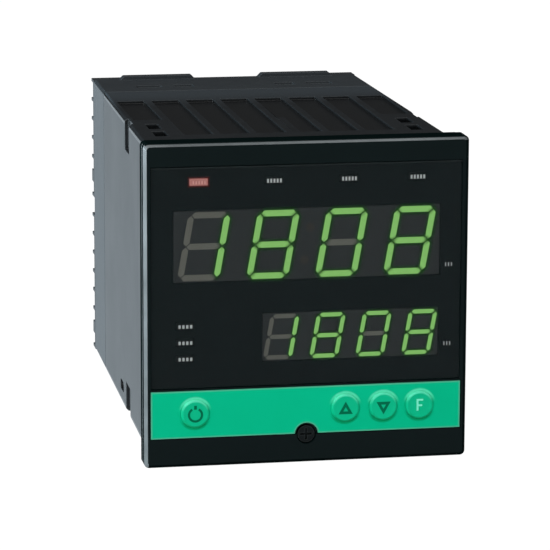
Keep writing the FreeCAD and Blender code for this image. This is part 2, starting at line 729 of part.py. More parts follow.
def hood_inner_half(half_at, station):
    return half_at(station) - s.sleeve_wall - s.tongue_clear - s.hood_wall


def make_hood():
    """The rear housing: a deep cap with a tongue that slips into the sleeve."""
    body = new_body("terminal_hood")
    front = new_sketch(body, "hood_front", "front", JOINT)
    draw_cut_rectangle(front, half_width_at(JOINT), half_height_at(JOINT), s.sleeve_corner)
    back = new_sketch(body, "hood_back", "front", REAR_FACE)
    draw_cut_rectangle(back, REAR_HALF_WIDTH, REAR_HALF_HEIGHT, s.sleeve_corner)
    loft_between(body, "AdditiveLoft", "hood_outside", front, back)

    tongue = new_sketch(body, "tongue", "front", JOINT - s.tongue_length)
    margin = s.sleeve_wall + s.tongue_clear
    draw_rectangle(tongue, 0, 0, 2 * (half_width_at(JOINT) - margin), 2 * (half_height_at(JOINT) - margin))
    pad_back(body, "tongue_pad", tongue, s.tongue_length + s.rear_wall)

    mouth = new_sketch(body, "hood_mouth", "front", JOINT - s.tongue_length)
    draw_rectangle(mouth, 0, 0, 2 * hood_inner_half(half_width_at, JOINT),
                   2 * hood_inner_half(half_height_at, JOINT))
    floor = new_sketch(body, "hood_floor", "front", REAR_FACE - s.rear_wall)
    draw_rectangle(floor, 0, 0, 2 * hood_inner_half(half_width_at, REAR_FACE),
                   2 * hood_inner_half(half_height_at, REAR_FACE))
    loft_between(body, "SubtractiveLoft", "hood_inside", mouth, floor)

    cut_joint_line(body)
    cut_latch_windows(body)
    add_pull_tabs(body)
    cut_rear_slots(body)
    return body


def cut_joint_line(body):
    """A fine groove round the hood where it meets the sleeve."""
    ring = new_sketch(body, "joint_line", "front", JOINT)
    draw_rectangle(ring, 0, 0, 2 * (half_width_at(JOINT) + PAST), 2 * (half_height_at(JOINT) + PAST))
    draw_rectangle(ring, 0, 0, 2 * (half_width_at(JOINT) - s.joint_groove),
                   2 * (half_height_at(JOINT) - s.joint_groove))
    cut_back(body, "joint_line_cut", ring, s.joint_groove)


def cut_latch_windows(body):
    """Shallow latch windows in pairs, on the top and on the bottom."""
    for name, up in (("top", True), ("bottom", False)):
        level = half_height_at(JOINT) if up else -half_height_at(JOINT)
        windows = new_sketch(body, f"{name}_latches", "top", level)
        middle = JOINT + s.latch_start + s.latch_length / 2
        for sign in (-1, 1):
            draw_rectangle(windows, sign * s.latch_outer, middle, s.latch_wide, s.latch_length)
            draw_rectangle(windows, sign * s.latch_inner, middle, s.latch_narrow, s.latch_length)
        extrude(body, "Pocket", f"{name}_latch_cut", windows, s.latch_depth, not up)


def add_pull_tabs(body):
    """Low tabs on the back edge, two above and two below, with sloping ends."""
    rise = s.tab_height + s.tab_root
    for upward in (-1, 1):
        for side in (-1, 1):
            name = f"tab_{'top' if upward > 0 else 'low'}_{'right' if side > 0 else 'left'}"
            tab = new_sketch(body, name, "front", REAR_FACE - s.tab_length)
            draw_trapezium(tab, side * s.tab_spacing, upward * (REAR_HALF_HEIGHT - s.tab_root),
                           s.tab_width, upward * rise, s.tab_height)
            pad_back(body, f"{name}_pad", tab, s.tab_length)


def draw_trapezium(sketch, centre_x, base_y, width, rise, slope):
    """Upright ends up to the housing's face, then ends that slope inwards."""
    centre_x, base_y, rise = as_size(centre_x), as_size(base_y), as_size(rise)
    step = slope if rise.value > 0 else -slope
    left = centre_x - width / 2
    right = centre_x + width / 2
    points = [
        (left, base_y),
        (right, base_y),
        (right, base_y + rise - step),
        (right - slope, base_y + rise),
        (left + slope, base_y + rise),
        (left, base_y + rise - step),
    ]
    draw_polygon(sketch, points)


def draw_polygon(sketch, points):
    """A closed outline through points whose places are bound to the sheet."""
    first = sketch.GeometryCount
    count = len(points)
    places = [Vector(as_size(x).value, as_size(y).value, 0) for x, y in points]
    for number in range(count):
        sketch.addGeometry(Part.LineSegment(places[number], places[(number + 1) % count]), False)
    for number in range(count):
        following = first + (number + 1) % count
        sketch.addConstraint(Sketcher.Constraint("Coincident", first + number, 2, following, 1))
    for number, (x, y) in enumerate(points):
        fix(sketch, "DistanceX", (-1, 1, first + number, 1), x)
        fix(sketch, "DistanceY", (-1, 1, first + number, 1), y)


def strip_rows():
    """Name, side, height of the first pole's barrier and pole count of each strip."""
    top = REAR_HALF_HEIGHT - s.strip_margin
    rows = []
    for name, side in (("left", -1), ("right", 1)):
        low_of_upper = top - s.barrier - s.upper_poles * s.terminal_pitch
        rows.append((f"upper_{name}", side, low_of_upper, s.upper_poles))
        rows.append((f"lower_{name}", side, -top, s.lower_poles))
    return rows


def pole_places():
    """Side and height of every terminal."""
    places = []
    for name, side, low, poles in strip_rows():
        for number in range(round(poles.value)):
            places.append((side, low + s.barrier / 2 + (number + 0.5) * s.terminal_pitch))
    return places


SCREW_X = REAR_HALF_WIDTH - s.screw_inset
CONTACT_END = REAR_HALF_WIDTH - s.screw_inset - s.contact_length + s.clamp_length / 2
TAIL_X = CONTACT_END + s.contact_thick / 2


def cut_rear_slots(body):
    """Slots for the contacts' tails, and vents down the middle of the back wall."""
    slots = new_sketch(body, "tail_slots", "front", REAR_FACE - s.rear_wall)
    for side, z in pole_places():
        draw_rectangle(slots, side * TAIL_X, z, s.contact_thick + 2 * s.tail_clear,
                       s.tail_width + 2 * s.tail_clear)
    cut_back(body, "tail_slots_cut", slots, s.rear_wall)

    vent = new_sketch(body, "vent", "front", REAR_FACE - s.rear_wall)
    lowest = -s.vent_pitch * (s.vent_count - 1) / 2
    draw_rectangle(vent, 0, lowest, s.vent_width, s.vent_height)
    pocket = cut_back(body, "vent_cut", vent, s.rear_wall)
    repeat(body, "vents", pocket, "Z_Axis", s.vent_pitch, s.vent_count)


def make_terminal_strips():
    """Four strips with a barrier on each side of every terminal."""
    for name, side, low, poles in strip_rows():
        body = new_body(f"terminal_strip_{name}")
        middle = side * (REAR_HALF_WIDTH - s.strip_width / 2)
        height = poles * s.terminal_pitch + s.barrier
        base = new_sketch(body, f"base_{name}", "front", REAR_FACE)
        draw_rectangle(base, middle, low + height / 2, s.strip_width, height)
        pad_back(body, f"base_pad_{name}", base, s.strip_base)

        rib = new_sketch(body, f"barrier_{name}", "front", REAR_FACE + s.strip_base)
        draw_rectangle(rib, middle, low + s.barrier / 2, s.strip_width, s.barrier)
        pad = pad_back(body, f"barrier_pad_{name}", rib, s.terminal_height - s.strip_base)
        repeat(body, f"barriers_{name}", pad, "Z_Axis", s.terminal_pitch, poles + 1)

        wide = new_sketch(body, f"wide_{name}", "front", REAR_FACE + s.strip_base)
        wide_z = low + s.barrier / 2 + s.terminal_pitch
        draw_rectangle(wide, side * (REAR_HALF_WIDTH - s.wide_barrier_reach / 2), wide_z,
                       s.wide_barrier_reach, s.wide_barrier)
        pad_back(body, f"wide_pad_{name}", wide, s.terminal_height - s.strip_base)
        cut_strip_holes(body, name, side, low, poles)


def cut_strip_holes(body, name, side, low, poles):
    """One screw hole and one tail slot under each terminal."""
    first_z = low + s.barrier / 2 + s.terminal_pitch / 2
    hole = new_sketch(body, f"screw_hole_{name}", "front", REAR_FACE + s.strip_base - s.screw_bite)
    draw_many_sided(hole, side * SCREW_X, first_z, s.screw_shank + 2 * s.bolt_clear, SHANK_SIDES)
    cut = cut_back(body, f"screw_hole_cut_{name}", hole, s.screw_bite)
    repeat(body, f"screw_holes_{name}", cut, "Z_Axis", s.terminal_pitch, poles)

    slot = new_sketch(body, f"tail_slot_{name}", "front", REAR_FACE)
    draw_rectangle(slot, side * TAIL_X, first_z, s.contact_thick + 2 * s.tail_clear,
                   s.tail_width + 2 * s.tail_clear)
    cut = cut_back(body, f"tail_slot_cut_{name}", slot, s.strip_base)
    repeat(body, f"tail_slots_{name}", cut, "Z_Axis", s.terminal_pitch, poles)


def make_terminal_metal():
    """Contacts, wire clamps and screws: one of each form, copied to every pole."""
    contact_y = REAR_FACE + s.strip_base
    clamp_y = contact_y + s.contact_thick
    head_y = clamp_y + s.clamp_thick
    hole = s.screw_shank + 2 * s.bolt_clear

    contacts = []
    for side in (-1, 1):
        name = "left" if side < 0 else "right"
        plate_middle = -side * (s.contact_length - s.clamp_length) / 2
        plate = new_box(f"contact_plate_{name}", plate_middle, 0, 0,
                        s.contact_length, s.contact_thick, s.contact_width)
        drop = s.strip_base + s.rear_wall
        tail = new_box(f"contact_tail_{name}", side * (TAIL_X - SCREW_X), -drop, 0,
                       s.contact_thick, drop + s.contact_thick / 2, s.tail_width)
        blank = new_fuse(f"contact_blank_{name}", plate, tail)
        bore = new_prism(f"contact_bore_{name}", 0, -s.contact_thick, 0, hole, 3 * s.contact_thick,
                         SHANK_SIDES)
        form = new_cut(f"contact_form_{name}", blank, bore)
        places = [(side * SCREW_X, contact_y, z) for one, z in pole_places() if one == side]
        contacts += new_copies(f"contact_{name}", form, places)
    new_group("terminal_contacts", contacts)

    clamp = new_box("clamp_plate", 0, 0, 0, s.clamp_length, s.clamp_thick, s.contact_width)
    clamp_bore = new_prism("clamp_bore", 0, -s.clamp_thick, 0, hole, 3 * s.clamp_thick, SHANK_SIDES)
    clamp_form = new_cut("clamp_form", clamp, clamp_bore)
    places = [(side * SCREW_X, clamp_y, z) for side, z in pole_places()]
    new_group("wire_clamps", new_copies("wire_clamp", clamp_form, places))

    reach = s.clamp_thick + s.contact_thick + s.screw_bite
    head = new_prism("screw_head", 0, 0, 0, s.screw_head, s.screw_head_height, HEAD_SIDES)
    shank = new_prism("screw_shank", 0, -reach, 0, s.screw_shank, reach + s.screw_head_height / 4,
                      SHANK_SIDES)
    slot = new_box("screw_slot", 0, s.screw_head_height / 2, 0,
                   s.screw_head + PAST, s.screw_head_height, s.screw_slot)
    form = new_cut("screw_form", new_fuse("screw_blank", head, shank), slot)
    places = [(side * SCREW_X, head_y, z) for side, z in pole_places()]
    new_group("terminal_screws", new_copies("terminal_screw", form, places))


def make_gasket():
    """The flat ring that seals the bezel to the panel."""
    body = new_body("panel_gasket")
    ring = new_sketch(body, "gasket_ring", "front", s.bezel_depth)
    draw_rounded_rectangle(ring, s.face_size / 2 - s.gasket_inset, s.face_size / 2 - s.gasket_inset,
                           s.bezel_corner)
    draw_rectangle(ring, 0, 0, s.sleeve_width + 2 * s.gasket_clear, s.sleeve_height + 2 * s.gasket_clear)
    pad_back(body, "gasket_pad", ring, s.gasket_thick)
    return body


def make_bezel():
    """The front frame: a shallow cap with a bevelled face and all its windows."""
    body = new_body("bezel")
    half = s.face_size / 2
    face = new_sketch(body, "bezel_face", "front", 0)
    draw_rounded_rectangle(face, half - s.face_bevel, half - s.face_bevel, s.bezel_corner - s.face_bevel / 2)
    edge = new_sketch(body, "bezel_edge", "front", s.face_bevel)
    draw_rounded_rectangle(edge, half, half, s.bezel_corner)
    loft_between(body, "AdditiveLoft", "bezel_bevel", face, edge)
    block = new_sketch(body, "bezel_block", "front", s.face_bevel)
    draw_rounded_rectangle(block, half, half, s.bezel_corner)
    pad_back(body, "bezel_pad", block, s.bezel_step_y - s.face_bevel)
    step = new_sketch(body, "bezel_step_outline", "front", s.bezel_step_y)
    draw_rounded_rectangle(step, half - s.bezel_step, half - s.bezel_step, s.bezel_corner)
    pad_back(body, "bezel_step_pad", step, s.bezel_depth - s.bezel_step_y)
    ring = new_sketch(body, "bezel_groove_ring", "front", s.bezel_groove_y)
    draw_rectangle(ring, 0, 0, s.face_size + 2 * PAST, s.face_size + 2 * PAST)
    groove_half = half - s.bezel_groove_depth
    draw_rounded_rectangle(ring, groove_half, groove_half, s.bezel_corner)
    cut_back(body, "bezel_groove_cut", ring, s.bezel_groove)

    back = new_sketch(body, "bezel_cavity", "front", s.front_wall)
    draw_rectangle(back, 0, 0, s.sleeve_width + 2 * s.skirt_clear, s.sleeve_height + 2 * s.skirt_clear)
    cut_back(body, "bezel_cavity_cut", back, s.bezel_depth - s.front_wall)

    recess = new_sketch(body, "window_recess", "front", 0)
    window_height = s.window_top - s.window_bottom
    draw_rectangle(recess, 0, (s.window_top + s.window_bottom) / 2,
                   s.window_width + 2 * s.panel_clear, window_height + 2 * s.panel_clear)
    cut_back(body, "window_recess_cut", recess, s.window_thick)

    strip = new_sketch(body, "strip_recess", "front", 0)
    draw_rectangle(strip, 0, s.strip_top - s.strip_height / 2,
                   s.key_strip_width + 2 * s.panel_clear, s.strip_height + 2 * s.panel_clear)
    cut_back(body, "strip_recess_cut", strip, s.key_strip_thick)

    add_bezel_posts(body)
    cut_bezel_windows(body)
    cut_bezel_holes(body)
    return body


def cut_bezel_windows(body):
    """Openings for the two displays and the light guides."""
    openings = new_sketch(body, "display_openings", "front", 0)
    draw_rectangle(openings, s.pv_x, s.pv_z, s.pv_width + 2 * s.display_clear,
                   s.pv_height + 2 * s.display_clear)
    draw_rectangle(openings, s.sp_x, s.sp_z, s.sp_width + 2 * s.display_clear,
                   s.sp_height + 2 * s.display_clear)
    for x, z in indicator_places():
        draw_rectangle(openings, x, z, s.guide_width + 2 * s.guide_clear,
                       s.guide_height + 2 * s.guide_clear)
    cut_back(body, "display_openings_cut", openings, s.front_wall)


def cut_bezel_holes(body):
    """Seats and stem holes for the keys, and the retaining screw's seat."""
    seats = new_sketch(body, "key_seats", "front", 0)
    stems = new_sketch(body, "key_stems", "front", 0)
    for name in KEYS:
        seat_side = s.key_diameter + 2 * s.key_clear
        stem_side = s.key_stem + 2 * s.key_clear
        draw_rectangle(seats, key_x(name), s.key_row, seat_side, seat_side)
        draw_rectangle(stems, key_x(name), s.key_row, stem_side, stem_side)
    cut_back(body, "key_seats_cut", seats, s.key_seat + s.key_travel + s.travel_spare)
    cut_back(body, "key_stems_cut", stems, s.front_wall)
    seat = new_sketch(body, "lock_seat", "front", 0)
    draw_circle(seat, 0, s.lock_screw_z, s.lock_head + 2 * s.lock_room)
    cut_back(body, "lock_seat_cut", seat, s.lock_sink + s.lock_head_height)
    hole = new_sketch(body, "lock_hole", "front", 0)
    draw_many_sided(hole, 0, s.lock_screw_z, s.lock_shank + 3 * s.lock_room, HEAD_SIDES)
    cut_back(body, "lock_hole_cut", hole, s.front_wall)


def add_bezel_posts(body):
    """Four posts that carry the display board."""
    posts = new_sketch(body, "posts", "front", s.front_wall)
    holes = new_sketch(body, "post_holes", "front", s.display_board_y - s.post_screw_depth)
    for x, z in post_places():
        draw_rectangle(posts, x, z, s.post_side, s.post_side)
        draw_many_sided(holes, x, z, s.post_screw + 2 * s.bolt_clear, SHANK_SIDES)
    pad_back(body, "posts_pad", posts, s.display_board_y - s.front_wall)
    cut_back(body, "post_holes_cut", holes, s.post_screw_depth)


def make_window():
    body = new_body("front_window")
    sheet = new_sketch(body, "window_outline", "front", 0)
    draw_rectangle(sheet, 0, (s.window_top + s.window_bottom) / 2, s.window_width,
                   s.window_top - s.window_bottom)
    pad_back(body, "window_pad", sheet, s.window_thick)


def make_key_strip():
    """The green strip with four key holes and the half-round notch."""
    body = new_body("key_strip")
    outline = new_sketch(body, "strip_outline", "front", 0)
    draw_rectangle(outline, 0, s.strip_top - s.strip_height / 2, s.key_strip_width, s.strip_height)
    pad_back(body, "strip_pad", outline, s.key_strip_thick)
    holes = new_sketch(body, "strip_holes", "front", 0)
    for name in KEYS:
        draw_circle(holes, key_x(name), s.key_row, s.key_diameter + 2 * s.key_clear)
    draw_circle(holes, 0, s.lock_screw_z, 2 * s.notch_radius)
    cut_back(body, "strip_holes_cut", holes, s.key_strip_thick)


def make_keys():
    """Four keys, a turned head on a square stem, each with the switch plunger it presses."""
    switch_face = s.display_board_y - s.switch_height
    plunger_start = switch_face - s.plunger_proud
    for name in KEYS:
        body = new_body(f"key_{name}", key_x(name), s.key_row)
        profile = new_sketch(body, f"key_profile_{name}", "top", 0)
        radius = s.key_diameter / 2
        draw_polygon(profile, [
            (0, -s.key_proud),
            (radius - s.key_rim, -s.key_proud),
            (radius, -s.key_edge),
            (radius, s.key_seat),
            (0, s.key_seat),
        ])
        turned = body.newObject("PartDesign::Revolution", f"key_turned_{name}")
        turned.Profile = profile
        turned.ReferenceAxis = (origin_item(body, "Y_Axis"), [""])
        turned.Angle = 360
        stem = new_sketch(body, f"key_stem_{name}", "front", s.key_seat)
        draw_rectangle(stem, 0, 0, s.key_stem, s.key_stem)
        pad_back(body, f"key_stem_pad_{name}", stem, plunger_start - s.key_seat)

        plunger = new_box(f"plunger_{name}", 0, 0, 0, s.plunger_side,
                          s.plunger_proud + s.plunger_depth, s.plunger_side)
        finish_node(plunger, f"switch_plunger_{name}", key_x(name) - s.plunger_side / 2,
                    plunger_start, s.key_row - s.plunger_side / 2)


def make_switches():
    """The four key switches on the display board, each bored for its plunger."""
    start = s.display_board_y - s.switch_height
    bore = s.plunger_side + 2 * s.plunger_clear
    depth = s.plunger_depth + s.key_travel + s.travel_spare
    switches = []
    for name in KEYS:
        block = new_box(f"switch_block_{name}", key_x(name), start, s.key_row,
                        s.switch_size, s.switch_height, s.switch_size)
        hole = new_box(f"switch_bore_{name}", key_x(name), start - PAST, s.key_row,
                       bore, depth + PAST, bore)
        switches.append(new_cut(f"switch_{name}", block, hole))
    new_group("key_switches", switches)


def make_display_board():
    board = new_body("display_board")
    outline = new_sketch(board, "board_outline", "front", s.display_board_y)
    margin = s.sleeve_wall + s.board_gap
    draw_rectangle(outline, 0, 0, 2 * (HALF_WIDTH - margin), 2 * (HALF_HEIGHT - margin))
    for x, z in post_places():
        draw_many_sided(outline, x, z, s.post_screw + 2 * s.bolt_clear, SHANK_SIDES)
    draw_many_sided(outline, 0, s.lock_screw_z, s.lock_board_hole, HEAD_SIDES)
    pad_back(board, "board_pad", outline, s.board_thick)

    head_y = BOARD_BACK
    screws = []
    for number, (x, z) in enumerate(post_places(), start=1):
        head = new_prism(f"board_screw_head_{number}", x, head_y, z, s.post_screw_head,
                         s.board_thick, HEAD_SIDES)
        reach = s.post_screw_depth + s.board_thick
        shank = new_prism(f"board_screw_shank_{number}", x, head_y - reach, z, s.post_screw,
                          reach + s.board_thick / 2, SHANK_SIDES)
        screws.append(new_fuse(f"board_screw_{number}", head, shank))
    new_group("board_screws", screws)


def make_lock_screw():
    """The retaining screw at the foot of the face, and its insert in the lug."""
    insert_start = s.bezel_depth + s.lug_start
    head_start = s.lock_sink
    reach = insert_start + s.lug_length - head_start
    head = new_rod("lock_head", 0, head_start, s.lock_screw_z, s.lock_head, s.lock_head_height)
    shank = new_prism("lock_shank", 0, head_start + s.lock_cross_depth, s.lock_screw_z,
                      s.lock_shank, reach - s.lock_cross_depth, HEAD_SIDES)
    slots = []
    for name, width, height in (("across", s.lock_cross, s.screw_slot),
                                ("upright", s.screw_slot, s.lock_cross)):
        slots.append(new_box(f"lock_slot_{name}", 0, head_start - PAST, s.lock_screw_z,
                             width, s.lock_cross_depth + PAST, height))
    screw = new_cut("lock_screw", new_fuse("lock_blank", head, shank), *slots)
    finish_node(screw, "retaining_screw")

    outer = new_prism("insert_outer", 0, insert_start, s.lock_screw_z, s.insert_across, s.lug_length,
                      HEX_SIDES)
    inner = new_prism("insert_inner", 0, insert_start - PAST, s.lock_screw_z,
                      s.lock_shank + 2 * s.insert_fit, s.lug_length + 2 * PAST, HEAD_SIDES)
    finish_node(new_cut("insert_cut", outer, inner), "screw_insert")


def digit_outlines(digit_height, digit_width, segment):
    """The seven bars of an upright digit about its centre, as point lists."""
    half_w = digit_width.value / 2
    half_h = digit_height.value / 2
    thick = segment.value
    gap = s.segment_gap.value / 2
    low = half_w - thick / 2
    high = half_h - thick / 2

    def level_bar(z):
        end = low - gap
        tip = thick / 2
        return [(-end, z), (-end + tip, z + tip), (end - tip, z + tip),
                (end, z), (end - tip, z - tip), (-end + tip, z - tip)]

    def upright_bar(x, bottom, top):
        tip = thick / 2
        bottom, top = bottom + gap, top - gap
        return [(x, bottom), (x + tip, bottom + tip), (x + tip, top - tip),
                (x, top), (x - tip, top - tip), (x - tip, bottom + tip)]

    return {
        "a": level_bar(high), "g": level_bar(0), "d": level_bar(-high),
        "b": upright_bar(low, 0, high), "c": upright_bar(low, -high, 0),
        "f": upright_bar(-low, 0, high), "e": upright_bar(-low, -high, 0),
    }


def make_digits(name, centre_x, centre_z, digit_height, digit_width, pitch, segment):
    """Lit and unlit segments of a four-digit display, as thin bars on its face."""
    lean = math.tan(math.radians(s.digit_slant.value))
    face = (s.display_face - s.segment_proud).value
    outlines = digit_outlines(digit_height, digit_width, segment)
    bars = {"lit": [], "unlit": []}
    for place, character in enumerate(LIT_READING):
        x0 = centre_x.value + (place - 1.5) * pitch.value
        for letter, points in outlines.items():
            corners = [Vector(x0 + x + z * lean, face, centre_z.value + z) for x, z in points]
            wire = Part.makePolygon(corners + [corners[0]])
            bar = Part.Face(wire).extrude(Vector(0, s.segment_proud.value, 0))
            state = "lit" if letter in SEGMENTS_OF[character] else "unlit"
            bars[state].append(bar)
    for state, solids in bars.items():
        feature = doc.addObject("Part::Feature", f"{name}_segments_{state}")
        feature.Shape = Part.makeCompound(solids)
        finish_node(feature, f"{name}_segments_{state}")


def make_displays():
    """Display modules behind the window: two two-digit blocks and one of four."""
    depth = s.display_board_y - s.display_face
    half = s.pv_width / 2
    for name, side in (("left", -1), ("right", 1)):
        block = new_box(f"pv_block_{name}", s.pv_x + side * half / 2, s.display_face, s.pv_z,
                        half, depth, s.pv_height)
        finish_node(block, f"pv_display_{name}", s.pv_x + side * half / 2 - half / 2,
                    s.display_face, s.pv_z - s.pv_height / 2)
    block = new_box("sp_block", s.sp_x, s.display_face, s.sp_z, s.sp_width, depth, s.sp_height)
    finish_node(block, "sp_display", s.sp_x - s.sp_width / 2, s.display_face, s.sp_z - s.sp_height / 2)
    make_digits("pv", s.pv_x, s.pv_z, s.pv_digit_height, s.pv_digit_width, s.pv_pitch, s.pv_segment)
    make_digits("sp", s.sp_x, s.sp_z, s.sp_digit_height, s.sp_digit_width, s.sp_pitch, s.sp_segment)


def make_indicators():
    """A light guide and a lamp behind each indicator; the first one is lit."""
    lamp_start = s.display_board_y - s.lamp_height
    length = lamp_start - s.window_thick
    guides = []
    lamps = []
    for number, (x, z) in enumerate(indicator_places(), start=1):
        guides.append(new_box(f"guide_{number}", x, s.window_thick, z, s.guide_width, length,
                              s.guide_height))
        lamps.append(new_box(f"lamp_{number}", x, lamp_start, z, s.lamp_width, s.lamp_height,
                             s.guide_height))
    new_group("light_guide_lit", guides[:1])
    new_group("light_guides", guides[1:])
    new_group("indicator_lamps", lamps)


BOARD_START = BOARD_BACK + s.board_front_gap
SOCKET_START = REAR_FACE - s.rear_wall - s.socket_depth


def make_boards():
    """Two upright boards in the sleeve's rails, their sockets, headers and spacers."""
    length = SOCKET_START + s.socket_bite - BOARD_START
    slot = s.board_thick + 2 * s.socket_clear
    headers = []
    for name, side in (("cpu", -1), ("power", 1)):
        x = side * s.board_x
        board = new_box(f"{name}_blank", x, BOARD_START, 0, s.board_thick, length, 2 * s.board_half)
        tongue = 2 * (s.socket_half - s.socket_end)
        corner = new_box(f"{name}_corner", x, SOCKET_START - s.shoulder_gap, 0, 2 * s.board_thick,
                         s.socket_depth, 2 * (s.board_half + PAST))
        keep = new_box(f"{name}_edge", x, SOCKET_START - PAST, 0, 3 * s.board_thick,
                       s.socket_depth + 2 * PAST, tongue)
        board = new_cut(f"{name}_board_cut", board, new_cut(f"{name}_corners", corner, keep))
        finish_node(board, f"{name}_board")

        socket = new_box(f"{name}_socket_block", x, SOCKET_START, 0, s.socket_width, s.socket_depth,
                         2 * s.socket_half)
        notch = new_box(f"{name}_socket_slot", x, SOCKET_START - PAST, 0, slot,
                        PAST + s.socket_bite + s.socket_spare, tongue + 2 * s.socket_clear)
        finish_node(new_cut(f"{name}_socket_cut", socket, notch), f"{name}_rear_socket")

        header_x = x - side * (s.board_thick / 2 + s.header_width / 2)
        headers.append(new_box(f"{name}_header", header_x, BOARD_BACK, 0, s.header_width,
                               s.header_length, 2 * s.header_half))
    new_group("board_headers", headers)

    inner = s.board_x - s.board_thick / 2
    spacers = []
    for row, y in enumerate((s.spacer_first_y, s.spacer_second_y)):
        for level, z in enumerate((-s.spacer_z, s.spacer_z)):
            spacers.append(new_prism(f"spacer_{row}_{level}", -inner, y, z, s.spacer_across,
                                     2 * inner, HEX_SIDES, "X"))
    new_group("board_spacers", spacers)


def make_power_parts():
    """Transformer, relays and capacitors on the inner side of the power board."""
    face = s.board_x - s.board_thick / 2
    middle = face - s.coil_width / 2
    core = new_box("core_block", middle, s.core_y, s.core_z, s.core_width, s.core_length, s.core_height)
    window = (s.core_length - 4 * s.core_leg) / 2 + s.core_leg / 2
    inner_height = s.core_height - 2 * s.core_leg
    windows = []
    for number, start in enumerate((s.core_y + s.core_leg,
                                    s.core_y + s.core_length - s.core_leg - window)):
        windows.append(new_box(f"core_window_{number}", middle, start, s.core_z,
                               s.core_width + 2 * PAST, window, inner_height))
    finish_node(new_cut("core_cut", core, *windows), "transformer_core")

    coil_length = s.core_length - 2 * s.core_leg - 2 * s.coil_clear
    coil = new_box("coil_block", middle, s.core_y + s.core_leg + s.coil_clear, s.core_z,
                   s.coil_width, coil_length, inner_height - 2 * s.coil_clear)
    leg_start = s.core_y + s.core_leg + window - s.coil_clear
    leg_length = s.core_length - 2 * s.core_leg - 2 * window + 2 * s.coil_clear
    leg = new_box("coil_leg", middle, leg_start, s.core_z, s.core_width + 2 * s.coil_clear, leg_length,
                  s.core_height)
    finish_node(new_cut("coil_cut", coil, leg), "transformer_coil")

    relays = []
    for number in range(round(s.relay_count.value)):
        z = s.relay_first_z + number * s.relay_pitch
        relays.append(new_box(f"relay_{number + 1}", face - s.relay_width / 2, s.relay_y, z,
                              s.relay_width, s.relay_length, s.relay_height))
    new_group("output_relays", relays)

    capacitors = []
    for number in range(round(s.capacitor_count.value)):
        y = s.capacitor_y + number * s.capacitor_pitch
        capacitors.append(new_prism(f"capacitor_{number + 1}", face - s.capacitor_length, y,
                                    s.capacitor_z, s.capacitor_diameter, s.capacitor_length,
                                    CAN_SIDES, "X"))
    new_group("capacitors", capacitors)


def make_logic_parts():
    """Processor and small chips on the inner side of the other board."""
    face = -s.board_x + s.board_thick / 2
    chip = new_box("processor_block", face + s.processor_thick / 2, s.processor_y, 0,
                   s.processor_thick, s.processor_side, s.processor_side)
    finish_node(chip, "processor", face, s.processor_y, -s.processor_side / 2)
    chips = []
    for number in range(round(s.chip_count.value)):
        z = s.chip_first_z + number * s.chip_pitch
        chips.append(new_box(f"chip_{number + 1}", face + s.chip_thick / 2, s.chip_y, z,
                             s.chip_thick, s.chip_length, s.chip_height))
    new_group("small_chips", chips)


def check_document():
    """Stop on a failed feature or an empty or broken solid."""
    for thing in doc.Objects:
        if "Invalid" in thing.State or "Error" in thing.State:
            raise RuntimeError(f"{thing.Name} failed: {thing.State}")
    for node in NODES:
        shape = node.Shape
        if shape.isNull() or not shape.isValid() or not shape.Solids or shape.Volume <= 0:
            raise RuntimeError(f"{node.Label} has no valid solid")


def write_parts():
    os.makedirs("parts", exist_ok=True)
    for node in NODES:
        node.Shape.exportStep(f"parts/{node.Label}.step")
        print(f"{node.Label}: {len(node.Shape.Solids)} solids, {node.Shape.Volume:.1f} mm3")


make_sleeve()
make_hood()
make_terminal_strips()
make_terminal_metal()
make_gasket()
make_bezel()
make_window()
make_key_strip()
make_keys()
make_switches()
make_display_board()
make_lock_screw()
make_displays()
make_indicators()
make_boards()
make_power_parts()
make_logic_parts()
doc.recompute()
check_document()
write_parts()
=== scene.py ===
import json
import math

import bmesh
import bpy
from mathutils import Matrix, Vector


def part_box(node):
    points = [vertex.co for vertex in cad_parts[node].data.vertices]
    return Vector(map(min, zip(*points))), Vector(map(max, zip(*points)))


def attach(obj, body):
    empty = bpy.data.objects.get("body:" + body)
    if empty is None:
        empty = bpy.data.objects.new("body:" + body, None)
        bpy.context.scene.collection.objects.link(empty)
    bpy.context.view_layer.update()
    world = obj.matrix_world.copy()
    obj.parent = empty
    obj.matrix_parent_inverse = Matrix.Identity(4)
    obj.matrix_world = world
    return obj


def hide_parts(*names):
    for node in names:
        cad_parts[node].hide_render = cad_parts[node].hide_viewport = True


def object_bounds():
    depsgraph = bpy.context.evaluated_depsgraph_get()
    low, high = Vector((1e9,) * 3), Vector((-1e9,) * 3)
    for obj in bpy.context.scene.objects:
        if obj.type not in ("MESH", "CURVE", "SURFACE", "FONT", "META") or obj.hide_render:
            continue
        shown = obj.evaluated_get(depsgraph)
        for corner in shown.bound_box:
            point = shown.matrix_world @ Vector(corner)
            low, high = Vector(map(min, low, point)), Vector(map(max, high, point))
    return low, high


# The looks of a panel-mounted process controller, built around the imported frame.
# Places are written in millimetres in the face frame: X to the right, depth back
# from the front face, height above the middle of the face.

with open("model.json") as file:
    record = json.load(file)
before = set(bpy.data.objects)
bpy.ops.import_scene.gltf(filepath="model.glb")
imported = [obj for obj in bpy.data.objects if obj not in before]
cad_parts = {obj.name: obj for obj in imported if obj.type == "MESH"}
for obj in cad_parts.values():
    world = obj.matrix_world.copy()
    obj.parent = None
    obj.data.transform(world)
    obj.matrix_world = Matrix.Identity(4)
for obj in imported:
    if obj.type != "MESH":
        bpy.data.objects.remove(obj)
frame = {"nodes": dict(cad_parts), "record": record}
CAD_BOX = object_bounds()
MM = 0.001
MICRON = 0.000001

FACE_MIDDLE = (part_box("bezel")[1].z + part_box("bezel")[0].z) / 2
FACE_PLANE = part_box("bezel")[0].y
CASE_BODY = "controller"
KEY_NAMES = ("standby", "up", "down", "function")


